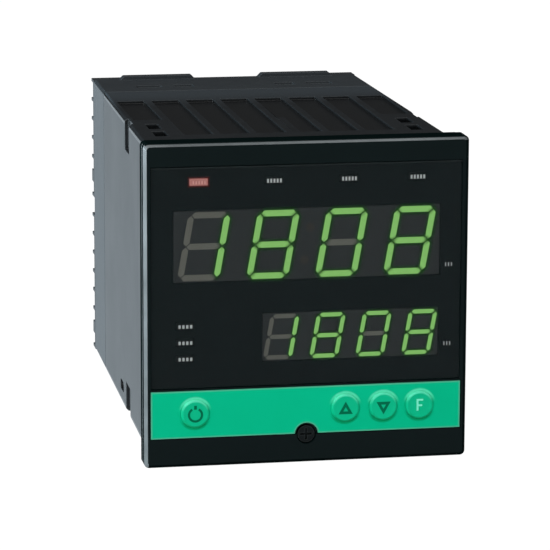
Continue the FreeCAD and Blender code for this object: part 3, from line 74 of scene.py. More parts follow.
def at(x, depth, height):
    """A place in the face frame, in millimetres, as a point of the row frame."""
    return Vector((x * MM, FACE_PLANE + depth * MM, FACE_MIDDLE + height * MM))


def middle_of(node):
    """Middle of a node across and up, in the face frame."""
    low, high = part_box(node)
    return (low.x + high.x) / 2 / MM, ((low.z + high.z) / 2 - FACE_MIDDLE) / MM


def depths_of(node):
    """Depths of a node's front and back, in the face frame."""
    low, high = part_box(node)
    return (low.y - FACE_PLANE) / MM, (high.y - FACE_PLANE) / MM


def head_radius(name):
    """Radius of a key's head, in millimetres."""
    low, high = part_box(f"key_{name}")
    return (high.x - low.x) / 2 / MM


# Colours and levels that set the look of the whole. Lengths here are in metres: depths in
# the row frame, reaches from the middle of the face, of a key or of the screw, and borders
# from an edge.

def screen(red, green, blue):
    """A screen colour, 0 to 255, as the linear colour that a shader takes."""
    linear = []
    for part in (red, green, blue):
        value = part / 255
        linear.append(value / 12.92 if value <= 0.04045 else ((value + 0.055) / 1.055) ** 2.4)
    return (*linear, 1.0)


CASE_LIGHT = screen(15, 20, 24)
CASE_DARK = screen(10, 15, 18)
CASE_WORN = screen(66, 73, 77)
CASE_DUST = screen(110, 116, 120)
# Painted sheen on the sleeve's top towards the back: its colour, where it begins and where it is
# full.
CASE_REAR_SHEEN = screen(52, 59, 64)
REAR_START = 4.0 * MM
REAR_FULL = 36.0 * MM
# Painted shade in the sleeve's sunk fields, which lie between these heights from the middle.
FIELD_SHADE = screen(9, 12, 14)
FIELD_LOW = 44.1 * MM
FIELD_HIGH = 45.2 * MM
DUST_GREY = screen(120, 124, 126)

BEZEL_LIGHT = screen(12, 23, 23)
BEZEL_DARK = screen(7, 17, 17)
# Painted highlight on the bezel's left and top slopes: its grey, its strength, and where it lies.
SLOPE_HIGHLIGHT_GREY = screen(128, 134, 136)
FACE_GLOSS = 0.12
SLOPE_HIGHLIGHT = 0.7
SLOPE_START = 46.8 * MM
LEFT_SLOPE_SHARE = 1.5
TOP_SLOPE_SHARE = 1.1
TOP_SLOPE_FROM = FACE_PLANE + 0.8 * MM
TOP_SLOPE_FULL = FACE_PLANE + 0.5 * MM

WINDOW_TINT = screen(20, 30, 30)
WINDOW_DEEP = screen(10, 18, 18)
WINDOW_ALPHA = 0.3
WINDOW_GLOSS = 0.2
LIT_GREEN = screen(140, 202, 108)
HALO_GREEN = screen(32, 88, 22)
LIT_RED = screen(227, 153, 145)
HALO_RED = screen(128, 40, 36)

# Painted highlight and painted shade on the upper and lower sides of the keys' rims.
RIM_HIGHLIGHT = screen(94, 236, 190)
RIM_SHADE = screen(0, 164, 108)
RIM_REACH = 5.2 * MM
RIM_FADE = 0.5 * MM
RIM_START = (3.4 * MM, 3.9 * MM)
RIM_SIDES = (("Upper", 0.15, 0.85), ("Lower", -0.25, -0.9))
# Painted highlight along the green strip's edges and round its notch.
BORDER_HIGHLIGHT = screen(104, 184, 154)
STRIP_BORDER = 0.6 * MM
STRIP_BORDER_CLEAR = 0.15 * MM
STRIP_NOTCH = 3.5 * MM


# Nodes, and the shader groups that several finishes share.

NUMBER_SOCKET = "NodeSocketFloat"
MIX_INPUTS = (0, 6, 7)
MIX_RESULT = 2


def new_group(name, inputs, outputs):
    """A group with its input and output nodes; the inputs come with their usual values."""
    group = bpy.data.node_groups.new(name, "ShaderNodeTree")
    for label, value in inputs.items():
        socket = group.interface.new_socket(name=label, in_out="INPUT", socket_type=NUMBER_SOCKET)
        socket.default_value = value
    for label in outputs:
        group.interface.new_socket(name=label, in_out="OUTPUT", socket_type=NUMBER_SOCKET)
    return group, group.nodes.new("NodeGroupInput"), group.nodes.new("NodeGroupOutput")


def set_socket(tree, socket, value):
    """Link another node's output to a socket, or give it a plain value."""
    if isinstance(value, bpy.types.NodeSocket):
        tree.links.new(value, socket)
    else:
        socket.default_value = value


def set_sockets(tree, node, values):
    """Set inputs by name, with _ for a space, or by number, as in _0."""
    for name, value in values.items():
        key = int(name[1:]) if name[0] == "_" else name.replace("_", " ")
        set_socket(tree, node.inputs[key], value)


def add_node(tree, kind, settings=None, **values):
    """A node with its settings; each input takes a value or another node's output."""
    node = tree.nodes.new(kind)
    for key, value in (settings or {}).items():
        setattr(node, key, value)
    set_sockets(tree, node, values)
    return node


def add_group(tree, group, **values):
    """A shared group, placed in a material with its own values."""
    node = tree.nodes.new("ShaderNodeGroup")
    node.node_tree = group
    set_sockets(tree, node, values)
    return node


def math_node(tree, operation, first, second=0.0, clamp=False):
    """The result of one operation, held between 0 and 1 where it is clamped."""
    settings = {"operation": operation, "use_clamp": clamp}
    return add_node(tree, "ShaderNodeMath", settings, _0=first, _1=second).outputs[0]


def smooth_step(tree, value, low, high, start=0.0, end=1.0):
    """The start at the low level, the end at the high one, which may be the smaller."""
    return add_node(tree, "ShaderNodeMapRange", {"interpolation_type": "SMOOTHSTEP"},
                    Value=value, _1=low, _2=high, _3=start, _4=end).outputs["Result"]


def band_mask(tree, value, low, high):
    """1 where the value lies between two levels, 0 outside."""
    above = math_node(tree, "GREATER_THAN", value, low)
    below = math_node(tree, "LESS_THAN", value, high)
    return math_node(tree, "MULTIPLY", above, below)


def noise(tree, where, scale, detail=3.0, roughness=0.5):
    """Slow or fine cloudiness, from 0 to 1; the scale is in lumps to the metre."""
    return add_node(tree, "ShaderNodeTexNoise", Vector=where, Scale=scale, Detail=detail,
                    Roughness=roughness).outputs["Fac"]


def object_place(tree):
    return add_node(tree, "ShaderNodeTexCoord").outputs["Object"]


def face_normal(tree):
    return add_node(tree, "ShaderNodeNewGeometry").outputs["Normal"]


def parts_of(tree, vector):
    """The outputs X, Y and Z of a vector."""
    return add_node(tree, "ShaderNodeSeparateXYZ", _0=vector).outputs


def distance_of(tree, across, rise):
    """Distance from a middle, given how far across and how far up."""
    squares = math_node(tree, "ADD", math_node(tree, "MULTIPLY", across, across),
                        math_node(tree, "MULTIPLY", rise, rise))
    return math_node(tree, "SQRT", squares)


def make_grain_group():
    """Fine spark-eroded texture of moulded plastic, with slow changes in gloss."""
    coarse_scale = 0.31
    coarse_share = 0.6
    slow_scale = 38.0
    group, taken, given = new_group(
        "moulded_grain", {"Scale": 2600.0, "Roughness": 0.5, "Roughness Spread": 0.1},
        ("Height", "Roughness", "Tone"))
    where = object_place(group)
    fine = noise(group, where, taken.outputs["Scale"], 2.0)
    coarser = math_node(group, "MULTIPLY", taken.outputs["Scale"], coarse_scale)
    coarse = noise(group, where, coarser, 2.0)
    mixed = math_node(group, "ADD", fine, math_node(group, "MULTIPLY", coarse, coarse_share))
    group.links.new(mixed, given.inputs["Height"])
    slow = noise(group, where, slow_scale, 4.0, 0.6)
    centred = math_node(group, "SUBTRACT", slow, 0.5)
    spread = math_node(group, "MULTIPLY", centred, taken.outputs["Roughness Spread"])
    group.links.new(math_node(group, "ADD", taken.outputs["Roughness"], spread, True),
                    given.inputs["Roughness"])
    group.links.new(slow, given.inputs["Tone"])
    return group


def make_wear_group():
    """Mask of the outer edges, where handling has polished the surface."""
    gain = 6.0
    patch_lift = 0.35
    group, taken, given = new_group(
        "edge_wear", {"Radius": 0.6 * MM, "Amount": 0.5, "Breakup": 160.0}, ("Mask",))
    rounded = add_node(group, "ShaderNodeBevel", {"samples": 6}, Radius=taken.outputs["Radius"])
    facing = add_node(group, "ShaderNodeVectorMath", {"operation": "DOT_PRODUCT"},
                      _0=rounded.outputs["Normal"], _1=face_normal(group)).outputs["Value"]
    edge = math_node(group, "MULTIPLY", math_node(group, "SUBTRACT", 1.0, facing), gain, True)
    patches = noise(group, object_place(group), taken.outputs["Breakup"], 3.0, 0.6)
    broken = math_node(group, "MULTIPLY", edge, math_node(group, "ADD", patches, patch_lift))
    group.links.new(math_node(group, "MULTIPLY", broken, taken.outputs["Amount"], True),
                    given.inputs["Mask"])
    return group


def make_dust_group():
    """Mask of fine dust on faces that look up."""
    clean_level = 0.42
    gain = 3.0
    group, taken, given = new_group("settled_dust", {"Amount": 0.2, "Scale": 260.0}, ("Mask",))
    upward = parts_of(group, face_normal(group))["Z"]
    level = math_node(group, "MAXIMUM", upward, 0.0)
    specks = noise(group, object_place(group), taken.outputs["Scale"], 5.0, 0.7)
    above = math_node(group, "SUBTRACT", specks, clean_level)
    thin = math_node(group, "MULTIPLY", above, gain, True)
    masked = math_node(group, "MULTIPLY", level, thin)
    group.links.new(math_node(group, "MULTIPLY", masked, taken.outputs["Amount"], True),
                    given.inputs["Mask"])
    return group


def make_rim_light_group():
    """Masks for a painted highlight on the upper side of the raised rims round the keys and painted
    shade on the lower side.
    """
    group, taken, given = new_group("key_rims", {"Reach": RIM_REACH}, ("Upper", "Lower"))
    parts = parts_of(group, object_place(group))
    across = None
    for name in KEY_NAMES:
        x, row = middle_of(f"key_{name}")
        gap = math_node(group, "ABSOLUTE", math_node(group, "SUBTRACT", parts["X"], x * MM))
        across = gap if across is None else math_node(group, "MINIMUM", across, gap)
    rise = math_node(group, "SUBTRACT", parts["Z"], FACE_MIDDLE + row * MM)
    distance = distance_of(group, across, rise)
    fade = math_node(group, "SUBTRACT", taken.outputs["Reach"], RIM_FADE)
    ring = math_node(group, "MULTIPLY", smooth_step(group, distance, *RIM_START),
                     smooth_step(group, distance, taken.outputs["Reach"], fade))
    slant = math_node(group, "DIVIDE", rise, distance)
    for side, low, high in RIM_SIDES:
        group.links.new(math_node(group, "MULTIPLY", ring, smooth_step(group, slant, low, high)),
                        given.inputs[side])
    return group


def make_cloth_group():
    """Woven glass cloth under a laminate's lacquer."""
    group, taken, given = new_group("woven_cloth", {"Pitch": 900.0}, ("Weave",))
    where = object_place(group)
    waves = []
    for direction in ("X", "Z"):
        wave = add_node(group, "ShaderNodeTexWave", {"bands_direction": direction},
                        Vector=where, Scale=taken.outputs["Pitch"], Distortion=0.4)
        waves.append(wave.outputs["Fac"])
    group.links.new(math_node(group, "MULTIPLY", *waves), given.inputs["Weave"])
    return group


GRAIN = make_grain_group()
WEAR = make_wear_group()
DUST = make_dust_group()
RIM_LIGHT_AND_SHADE = make_rim_light_group()
CLOTH = make_cloth_group()


# Materials.

FINISH = "_finish"
FADE_LAYER = "fade"


def new_material(name):
    material = bpy.data.materials.new(name + FINISH)
    material.use_nodes = True
    return material, material.node_tree, material.node_tree.nodes["Principled BSDF"]


def set_shader(tree, shader, **values):
    """Set the shader's own sockets, with _ for a space in their names."""
    set_sockets(tree, shader, values)


def mix_colours(tree, mask, first, second):
    """The first colour where the mask is 0, the second where it is 1."""
    node = add_node(tree, "ShaderNodeMix", {"data_type": "RGBA"})
    for number, value in zip(MIX_INPUTS, (mask, first, second)):
        set_socket(tree, node.inputs[number], value)
    return node.outputs[MIX_RESULT]


def set_bump(tree, shader, height, distance):
    bump = add_node(tree, "ShaderNodeBump", Height=height, Strength=1.0, Distance=distance)
    tree.links.new(bump.outputs["Normal"], shader.inputs["Normal"])


def wear_and_dust(tree, base, worn, wear, dust, dust_colour):
    """A colour polished along the edges and dusted on top; either may be left out."""
    if worn:
        edges = add_group(tree, WEAR, Amount=wear)
        base = mix_colours(tree, edges.outputs["Mask"], base, worn)
    if dust:
        film = add_group(tree, DUST, Amount=dust)
        base = mix_colours(tree, film.outputs["Mask"], base, dust_colour)
    return base


def make_moulding(name, colour, darker, roughness=0.5, specular=0.5, grain=2600.0,
                  depth=20 * MICRON, worn=None, wear=0.5, dust=0.15):
    """Moulded plastic: grain, slow changes in tone, polished edges and a little dust."""
    material, tree, shader = new_material(name)
    surface = add_group(tree, GRAIN, Scale=grain, Roughness=roughness, Roughness_Spread=0.1)
    base = mix_colours(tree, surface.outputs["Tone"], darker, colour)
    base = wear_and_dust(tree, base, worn, wear, dust, DUST_GREY)
    set_shader(tree, shader, Base_Color=base, Roughness=surface.outputs["Roughness"],
               Specular_IOR_Level=specular)
    set_bump(tree, shader, surface.outputs["Height"], depth)
    return material


def make_ink(name, colour, darker, roughness=0.6, specular=0.2, grain=900.0):
    """Print or diffuser: nearly smooth, and free of dust."""
    return make_moulding(name, colour, darker, roughness, specular, grain, 2 * MICRON, dust=0.0)


def make_case_plastic(name):
    """The sleeve's plastic, with painted shade darkening the sunk fields and a painted sheen making
    the top paler towards the back.
    """
    top_face = 0.7
    sunk_gloss = 0.12
    material, tree, shader = new_material(name)
    surface = add_group(tree, GRAIN, Scale=2600.0, Roughness=0.44, Roughness_Spread=0.1)
    place = parts_of(tree, object_place(tree))
    level = math_node(tree, "ABSOLUTE", math_node(tree, "SUBTRACT", place["Z"], FACE_MIDDLE))
    sunk = band_mask(tree, level, FIELD_LOW, FIELD_HIGH)
    base = mix_colours(tree, surface.outputs["Tone"], CASE_DARK, CASE_LIGHT)
    base = wear_and_dust(tree, base, CASE_WORN, wear=0.5, dust=0.04, dust_colour=CASE_DUST)
    # Painted sheen: the top faces are made paler towards the back.
    upward = parts_of(tree, face_normal(tree))["Z"]
    rear_sheen = math_node(tree, "MULTIPLY", math_node(tree, "GREATER_THAN", upward, top_face),
                     smooth_step(tree, place["Y"], REAR_START, REAR_FULL))
    base = mix_colours(tree, rear_sheen, base, CASE_REAR_SHEEN)
    # Painted shade in the sunk fields.
    base = mix_colours(tree, sunk, base, FIELD_SHADE)
    rough = math_node(tree, "SUBTRACT", surface.outputs["Roughness"],
                      math_node(tree, "MULTIPLY", sunk, sunk_gloss))
    set_shader(tree, shader, Base_Color=base, Roughness=rough)
    set_bump(tree, shader, surface.outputs["Height"], 20 * MICRON)
    return material


def make_bezel_plastic(name):
    """Dark satin plastic: glossy in front, dull at the sides, with a painted highlight on its left
    and top slopes.
    """
    slope_normals = (0.35, 0.9)
    front_normal = 0.95
    patch_scale = 60.0
    patch_lift = 0.3
    slope_coat = 0.7
    material, tree, shader = new_material(name)
    surface = add_group(tree, GRAIN, Scale=3200.0, Roughness=0.34, Roughness_Spread=0.08)
    base = mix_colours(tree, surface.outputs["Tone"], BEZEL_DARK, BEZEL_LIGHT)
    facing = math_node(tree, "ABSOLUTE", parts_of(tree, face_normal(tree))["Y"])
    place = parts_of(tree, object_place(tree))
    # Painted highlight on the left and top slopes, broken into patches.
    leftward = math_node(tree, "MULTIPLY", place["X"], -1.0)
    upward = math_node(tree, "SUBTRACT", place["Z"], FACE_MIDDLE)
    furthest = math_node(tree, "MAXIMUM", leftward, upward)
    outer = math_node(tree, "GREATER_THAN", furthest, SLOPE_START)
    slope = math_node(tree, "MULTIPLY", band_mask(tree, facing, *slope_normals), outer)
    patches = noise(tree, object_place(tree), patch_scale, 3.0, 0.6)
    highlight_on_slopes = math_node(tree, "MULTIPLY", slope, math_node(tree, "ADD", patches, patch_lift), True)
    aside = math_node(tree, "GREATER_THAN", leftward, upward)
    near = smooth_step(tree, place["Y"], TOP_SLOPE_FROM, TOP_SLOPE_FULL)
    share = math_node(tree, "MAXIMUM", math_node(tree, "MULTIPLY", aside, LEFT_SLOPE_SHARE),
                      math_node(tree, "MULTIPLY", near, TOP_SLOPE_SHARE))
    highlight_on_slopes = math_node(tree, "MULTIPLY", highlight_on_slopes, share)
    base = mix_colours(tree, math_node(tree, "MULTIPLY", highlight_on_slopes, SLOPE_HIGHLIGHT), base, SLOPE_HIGHLIGHT_GREY)
    flat_front = math_node(tree, "GREATER_THAN", facing, front_normal)
    gloss = math_node(tree, "ADD", math_node(tree, "MULTIPLY", highlight_on_slopes, slope_coat),
                      math_node(tree, "MULTIPLY", flat_front, FACE_GLOSS))
    set_shader(tree, shader, Base_Color=base, Roughness=surface.outputs["Roughness"],
               Specular_IOR_Level=0.0, Coat_Weight=gloss, Coat_Roughness=0.25)
    set_bump(tree, shader, surface.outputs["Height"], 6 * MICRON)
    return material


def strip_border_mask(tree):
    """1 along the edges of the green strip and round its notch, 0 further in: where its painted
    highlight lies.
    """
    low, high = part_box("key_strip")
    place = parts_of(tree, object_place(tree))
    gaps = []
    for axis, start, end in (("X", low.x, high.x), ("Z", low.z, high.z)):
        offset = math_node(tree, "SUBTRACT", place[axis], (start + end) / 2)
        away = math_node(tree, "ABSOLUTE", offset)
        gaps.append(math_node(tree, "SUBTRACT", (end - start) / 2, away))
    edge = math_node(tree, "MINIMUM", *gaps)
    x, height = middle_of("retaining_screw")
    across = math_node(tree, "SUBTRACT", place["X"], x * MM)
    rise = math_node(tree, "SUBTRACT", place["Z"], FACE_MIDDLE + height * MM)
    notch = math_node(tree, "SUBTRACT", distance_of(tree, across, rise), STRIP_NOTCH)
    nearest = math_node(tree, "MINIMUM", edge, notch)
    return smooth_step(tree, nearest, STRIP_BORDER, STRIP_BORDER_CLEAR)


def make_green(name, colour, darker, roughness, specular, border_highlight=0.0):
    """The strip and the keys, with a painted highlight on the upper side of the keys' rims and
    painted shade on the lower; the strip can take a painted highlight along its edges.
    """
    material, tree, shader = new_material(name)
    surface = add_group(tree, GRAIN, Scale=2300.0, Roughness=roughness, Roughness_Spread=0.08)
    rims = add_group(tree, RIM_LIGHT_AND_SHADE)
    base = mix_colours(tree, surface.outputs["Tone"], darker, colour)
    # Painted highlight along the strip's edges, then painted highlight and painted shade on the
    # keys' rims.
    if border_highlight:
        edge = math_node(tree, "MULTIPLY", strip_border_mask(tree), border_highlight)
        base = mix_colours(tree, edge, base, BORDER_HIGHLIGHT)
    base = mix_colours(tree, rims.outputs["Upper"], base, RIM_HIGHLIGHT)
    base = mix_colours(tree, rims.outputs["Lower"], base, RIM_SHADE)
    set_shader(tree, shader, Base_Color=base, Roughness=surface.outputs["Roughness"],
               Specular_IOR_Level=specular)
    set_bump(tree, shader, surface.outputs["Height"], 5 * MICRON)
    return material


def make_metal(name, colour, darker, roughness=0.35, brushed=700.0, worn=None):
    """Plated or rolled metal with drawn lines and slow tarnish."""
    line_stretch = (1.0, 0.12, 1.0)
    gloss_spread = 0.2
    material, tree, shader = new_material(name)
    place = object_place(tree)
    stretched = add_node(tree, "ShaderNodeMapping", Vector=place, Scale=line_stretch)
    lines = noise(tree, stretched.outputs["Vector"], brushed)
    tarnish = noise(tree, place, 90.0, 4.0, 0.6)
    base = mix_colours(tree, tarnish, darker, colour)
    if worn:
        edges = add_group(tree, WEAR, Amount=0.8, Radius=0.3 * MM)
        base = mix_colours(tree, edges.outputs["Mask"], base, worn)
    rough = math_node(tree, "ADD", roughness - gloss_spread / 2,
                      math_node(tree, "MULTIPLY", lines, gloss_spread))
    set_shader(tree, shader, Base_Color=base, Metallic=1.0, Roughness=rough)
    set_bump(tree, shader, lines, 10 * MICRON)
    return material


def make_laminate(name):
    """Green glass-cloth laminate under solder lacquer, with traces."""
    trace_level = 0.55
    trace_cover = 0.5
    material, tree, shader = new_material(name)
    weave = add_group(tree, CLOTH, Pitch=1100.0).outputs["Weave"]
    cells = add_node(tree, "ShaderNodeTexVoronoi", {"distance": "CHEBYCHEV"},
                     Vector=object_place(tree), Scale=210.0).outputs["Distance"]
    traces = math_node(tree, "GREATER_THAN", cells, trace_level)
    base = mix_colours(tree, weave, screen(12, 62, 38), screen(22, 84, 52))
    cover = math_node(tree, "MULTIPLY", traces, trace_cover)
    base = mix_colours(tree, cover, base, screen(50, 122, 74))
    set_shader(tree, shader, Base_Color=base, Roughness=0.32)
    set_bump(tree, shader, traces, 30 * MICRON)
    return material


def make_smoked_window(name):
    """Smoked acrylic: dark, but the displays behind it show."""
    clean_roughness = 0.06
    smear_roughness = 0.08
    material, tree, shader = new_material(name)
    smears = noise(tree, object_place(tree), 46.0, 5.0, 0.65)
    tint = mix_colours(tree, smears, WINDOW_DEEP, WINDOW_TINT)
    rough = math_node(tree, "ADD", clean_roughness,
                      math_node(tree, "MULTIPLY", smears, smear_roughness))
    set_shader(tree, shader, Base_Color=tint, Roughness=rough, Specular_IOR_Level=WINDOW_GLOSS,
               Alpha=WINDOW_ALPHA)
    return material


def make_lit(name, colour, glow, strength):
    """A diffuser with a lamp behind it, slightly uneven."""
    dimmest = 0.82
    material, tree, shader = new_material(name)
    uneven = noise(tree, object_place(tree), 900.0, 2.0)
    tone = mix_colours(tree, uneven, [part * dimmest for part in glow[:3]] + [1.0], glow)
    set_shader(tree, shader, Base_Color=colour, Roughness=0.5, Emission_Color=tone,
               Emission_Strength=strength)
    return material


def make_halo(name, glow, cover):
    """Light that spreads in the diffuser round a lit bar; it fades outwards."""
    fade_power = 1.6
    material, tree, shader = new_material(name)
    fade = add_node(tree, "ShaderNodeVertexColor", {"layer_name": FADE_LAYER}).outputs["Color"]
    level = add_node(tree, "ShaderNodeSeparateColor", _0=fade).outputs[0]
    curve = math_node(tree, "POWER", level, fade_power)
    set_shader(tree, shader, Base_Color=(0.0, 0.0, 0.0, 1.0), Specular_IOR_Level=0.0,
               Emission_Color=glow, Emission_Strength=1.0,
               Alpha=math_node(tree, "MULTIPLY", curve, cover))
    return material


def make_wound_tape(name):
    """Yellow polyester tape round the coil, with the laps' edges."""
    material, tree, shader = new_material(name)
    laps = add_node(tree, "ShaderNodeTexWave", {"bands_direction": "Y"}, Vector=object_place(tree),
                    Scale=60.0, Distortion=0.6, Detail=2.0).outputs["Fac"]
    base = mix_colours(tree, laps, screen(150, 120, 36), screen(202, 172, 70))
    set_shader(tree, shader, Base_Color=base, Roughness=0.3)
    set_bump(tree, shader, laps, 60 * MICRON)
    return material


def make_materials():
    """Every finish of the record, by its slot's name, and the inks and glows."""
    made = [
        make_case_plastic("case_plastic"),
        make_moulding("hood_plastic", screen(45, 51, 55), screen(39, 44, 48), 0.48,
                      worn=screen(62, 68, 73), wear=0.3, dust=0.05),
        make_moulding("terminal_plastic", screen(44, 47, 50), screen(32, 35, 38), 0.5, 0.45,
                      dust=0.2),
        make_metal("contact_metal", screen(206, 190, 150), screen(160, 142, 102), 0.38),
        make_metal("clamp_steel", screen(186, 188, 190), screen(136, 138, 142), 0.42),
        make_metal("screw_steel", screen(196, 198, 200), screen(142, 144, 148), 0.34,
                   worn=screen(226, 226, 226)),
        make_moulding("gasket_rubber", screen(14, 15, 16), screen(8, 9, 10), 0.8, 0.25, 1500.0,
                      dust=0.1),
        make_bezel_plastic("bezel_plastic"),
        make_smoked_window("smoked_window"),
        make_green("strip_green", screen(0, 201, 150), screen(0, 194, 141), 0.5, 0.05, border_highlight=0.65),
        make_green("key_green", screen(0, 199, 147), screen(0, 192, 138), 0.4, 0.1),
        make_moulding("plunger_plastic", screen(60, 62, 64), screen(44, 46, 48), 0.45, 0.4),
        make_moulding("switch_plastic", screen(36, 37, 39), screen(24, 25, 27), 0.42, 0.45),
        make_laminate("board_laminate"),
        make_metal("black_screw", screen(33, 35, 35), screen(20, 22, 22), 0.46,
                   worn=screen(70, 72, 70)),
        make_moulding("display_body", screen(82, 84, 84), screen(71, 73, 73), 0.62, 0.2, 1800.0,
                      4 * MICRON, dust=0.0),
        make_lit("segment_lit", screen(30, 60, 24), LIT_GREEN, 1.6),
        make_ink("segment_unlit", screen(178, 177, 164), screen(162, 161, 148), 0.55, 0.3, 1500.0),
        make_lit("guide_lit", screen(80, 20, 18), LIT_RED, 1.0),
        make_moulding("guide_clear", screen(16, 24, 24), screen(11, 18, 18), 0.4, 0.1, dust=0.0),
        make_moulding("lamp_body", screen(190, 192, 188), screen(168, 170, 166), 0.4, dust=0.0),
        make_moulding("socket_plastic", screen(40, 66, 48), screen(28, 50, 36), 0.5, 0.45),
        make_moulding("spacer_nylon", screen(214, 212, 202), screen(196, 194, 184), 0.5, 0.4),
        make_metal("core_steel", screen(112, 110, 108), screen(74, 72, 72), 0.5, 1600.0),
        make_wound_tape("coil_tape"),
        make_moulding("relay_case", screen(34, 52, 96), screen(22, 38, 78), 0.35),
        make_moulding("capacitor_sleeve", screen(30, 32, 58), screen(18, 20, 42), 0.3),
        make_moulding("chip_plastic", screen(26, 26, 28), screen(16, 16, 18), 0.55, 0.35, 1500.0),
        make_ink("legend_print", screen(184, 188, 187), screen(158, 162, 161)),
        make_ink("lit_guide_print", screen(184, 134, 127), screen(174, 125, 119)),
        make_ink("symbol_print", screen(0, 116, 80), screen(0, 106, 72), 0.5, 0.05),
        make_ink("pale_symbol_print", screen(140, 255, 222), screen(122, 248, 208), 0.5, 0.1),
        make_moulding("window_line_print", screen(24, 30, 30), screen(19, 24, 24), 0.5, 0.2,
                      dust=0.0),
        make_ink("dot_print", screen(98, 92, 84), screen(84, 80, 74), grain=1500.0),
        make_halo("green_halo", HALO_GREEN, 0.85),
        make_halo("red_halo", HALO_RED, 0.7),
    ]
    return {material.name.removesuffix(FINISH): material for material in made}


MATERIALS = make_materials()
SLOT_OF = {part["node"]: part["material_slot"] for part in frame["record"]["subparts"]}


def dress_nodes():
    """Give every CAD node the material of its slot."""
    for node, slot in SLOT_OF.items():
        thing = frame["nodes"][node]
        thing.data.materials.clear()
        thing.data.materials.append(MATERIALS[slot])


# Making meshes.

MERGE_DISTANCE = 2 * MICRON
FACE_TOLERANCE = 10 * MICRON
FLAT_ANGLE = math.radians(1.0)
FRONT_NORMAL = 0.9


def add_object(name, data):
    thing = bpy.data.objects.new(name, data)
    bpy.context.scene.collection.objects.link(thing)
    return thing


def finish_piece(name, mesh, slot, body, material=None, smooth=True):
    """Put a mesh into the scene as a piece that rides on a body."""
    data = bpy.data.meshes.new(name)
    mesh.to_mesh(data)
    mesh.free()
    data.materials.append(MATERIALS[material or slot])
    data.polygons.foreach_set("use_smooth", [smooth] * len(data.polygons))
    piece = add_object(name, data)
    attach(piece, body)
    return piece


def finish_print(name, mesh, slot, body, material):
    """Put a thin flat mark into the scene."""
    bmesh.ops.recalc_face_normals(mesh, faces=mesh.faces)
    finish_piece(name, mesh, slot, body, material, smooth=False)


def copy_node(node):
    """A CAD node's mesh with its doubled corners merged."""
    source = frame["nodes"][node].data
    mesh = bmesh.new()
    corners = [mesh.verts.new(vertex.co) for vertex in source.vertices]
    for polygon in source.polygons:
        mesh.faces.new([corners[index] for index in polygon.vertices])
    bmesh.ops.remove_doubles(mesh, verts=mesh.verts, dist=MERGE_DISTANCE)
    return mesh


def add_plate(mesh, outline, front, back):
    """A thin plate from a flat outline of (x, height) points."""
    near = [mesh.verts.new(at(x, front, height)) for x, height in outline]
    far = [mesh.verts.new(at(x, back, height)) for x, height in outline]
    mesh.faces.new(near)
    mesh.faces.new(far[::-1])
    count = len(outline)
    for number in range(count):
        following = (number + 1) % count
        mesh.faces.new((near[following], near[number], far[number], far[following]))


def add_band(mesh, outer, inner, front, back):
    """A flat frame between two outlines with the same number of points."""
    rings = [[mesh.verts.new(at(x, depth, height)) for x, height in outline]
             for outline, depth in ((outer, front), (inner, front), (inner, back), (outer, back))]
    count = len(outer)
    for ring, following_ring in zip(rings, rings[1:] + rings[:1]):
        for number in range(count):
            following = (number + 1) % count
            mesh.faces.new((ring[number], ring[following], following_ring[following],
                            following_ring[number]))


def rectangle(x, height, width, rise):
    return [(x - width / 2, height - rise / 2), (x + width / 2, height - rise / 2),
            (x + width / 2, height + rise / 2), (x - width / 2, height + rise / 2)]


def arc(x, height, radius, start, end, steps):
    """Points on an arc; angles in degrees from the right, counterclockwise."""
    points = []
    for step in range(steps + 1):
        angle = math.radians(start + (end - start) * step / steps)
        points.append((x + radius * math.cos(angle), height + radius * math.sin(angle)))
    return points


def circle(x, height, radius, count):
    """Evenly spaced points round a whole circle."""
    return arc(x, height, radius, 0, 360 - 360 / count, count - 1)


# Width of the round edges, and how much a sheet is thinned at its back, off its seat,
# in millimetres.

ROUND_EDGES = (
    ("sleeve", 0.22, 0.0),
    ("terminal_hood", 0.2, 0.0),
    ("bezel", 0.16, 0.0),
    ("front_window", 0.1, 0.08),
    ("key_strip", 0.06, 0.08),
    *((f"terminal_strip_{row}_{side}", 0.15, 0.0)
      for row in ("upper", "lower") for side in ("left", "right")),
)


def soften(node, width, thinner):
    """A copy of a CAD node with small round edges, which stands for the node."""
    least_angle = 32.0
    mesh = copy_node(node)
    back = max(corner.co.y for corner in mesh.verts)
    for corner in mesh.verts:
        if corner.co.y > back - MICRON:
            corner.co.y -= thinner * MM
    piece = finish_piece(f"{node}_moulded", mesh, SLOT_OF[node], CASE_BODY)
    edges = piece.modifiers.new("round_edges", "BEVEL")
    edges.width = width * MM
    edges.segments = 2
    edges.limit_method = "ANGLE"
    edges.angle_limit = math.radians(least_angle)
    edges.use_clamp_overlap = False
    edges.loop_slide = False
    edges.harden_normals = True
    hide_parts(node)


# Keys. Radii are from the middle of a key and depths from the front face, in millimetres.

KEY_FLAT = 3.4
KEY_DISH = 0.08
KEY_DISH_POWER = 8
KEY_SEAT = 1.5
KEY_CHAMFER = 0.2
KEY_STEM = 2.0
KEY_POINTS = 72
KEY_CREASE = math.radians(40)
LIP_INSIDE = 0.03
LIP_OUTSIDE = 0.2
LIP_BACK = 0.02
LIP_THICK = 0.45


def key_profile(head, crown, foot):
    """Radius and depth along a key from the middle of its dish round to its foot."""
    profile = []
    dish_steps = 12
    for step in range(dish_steps + 1):
        share = step / dish_steps
        profile.append((KEY_FLAT * share, crown + KEY_DISH * (1 - share ** KEY_DISH_POWER)))
    rim_steps = 8
    for step in range(1, rim_steps + 1):
        angle = math.radians(90 * step / rim_steps)
        profile.append((KEY_FLAT + (head - KEY_FLAT) * math.sin(angle), crown * math.cos(angle)))
    profile += [(head, KEY_SEAT - KEY_CHAMFER), (head - KEY_CHAMFER, KEY_SEAT),
                (KEY_STEM, KEY_SEAT), (KEY_STEM, foot)]
    return profile


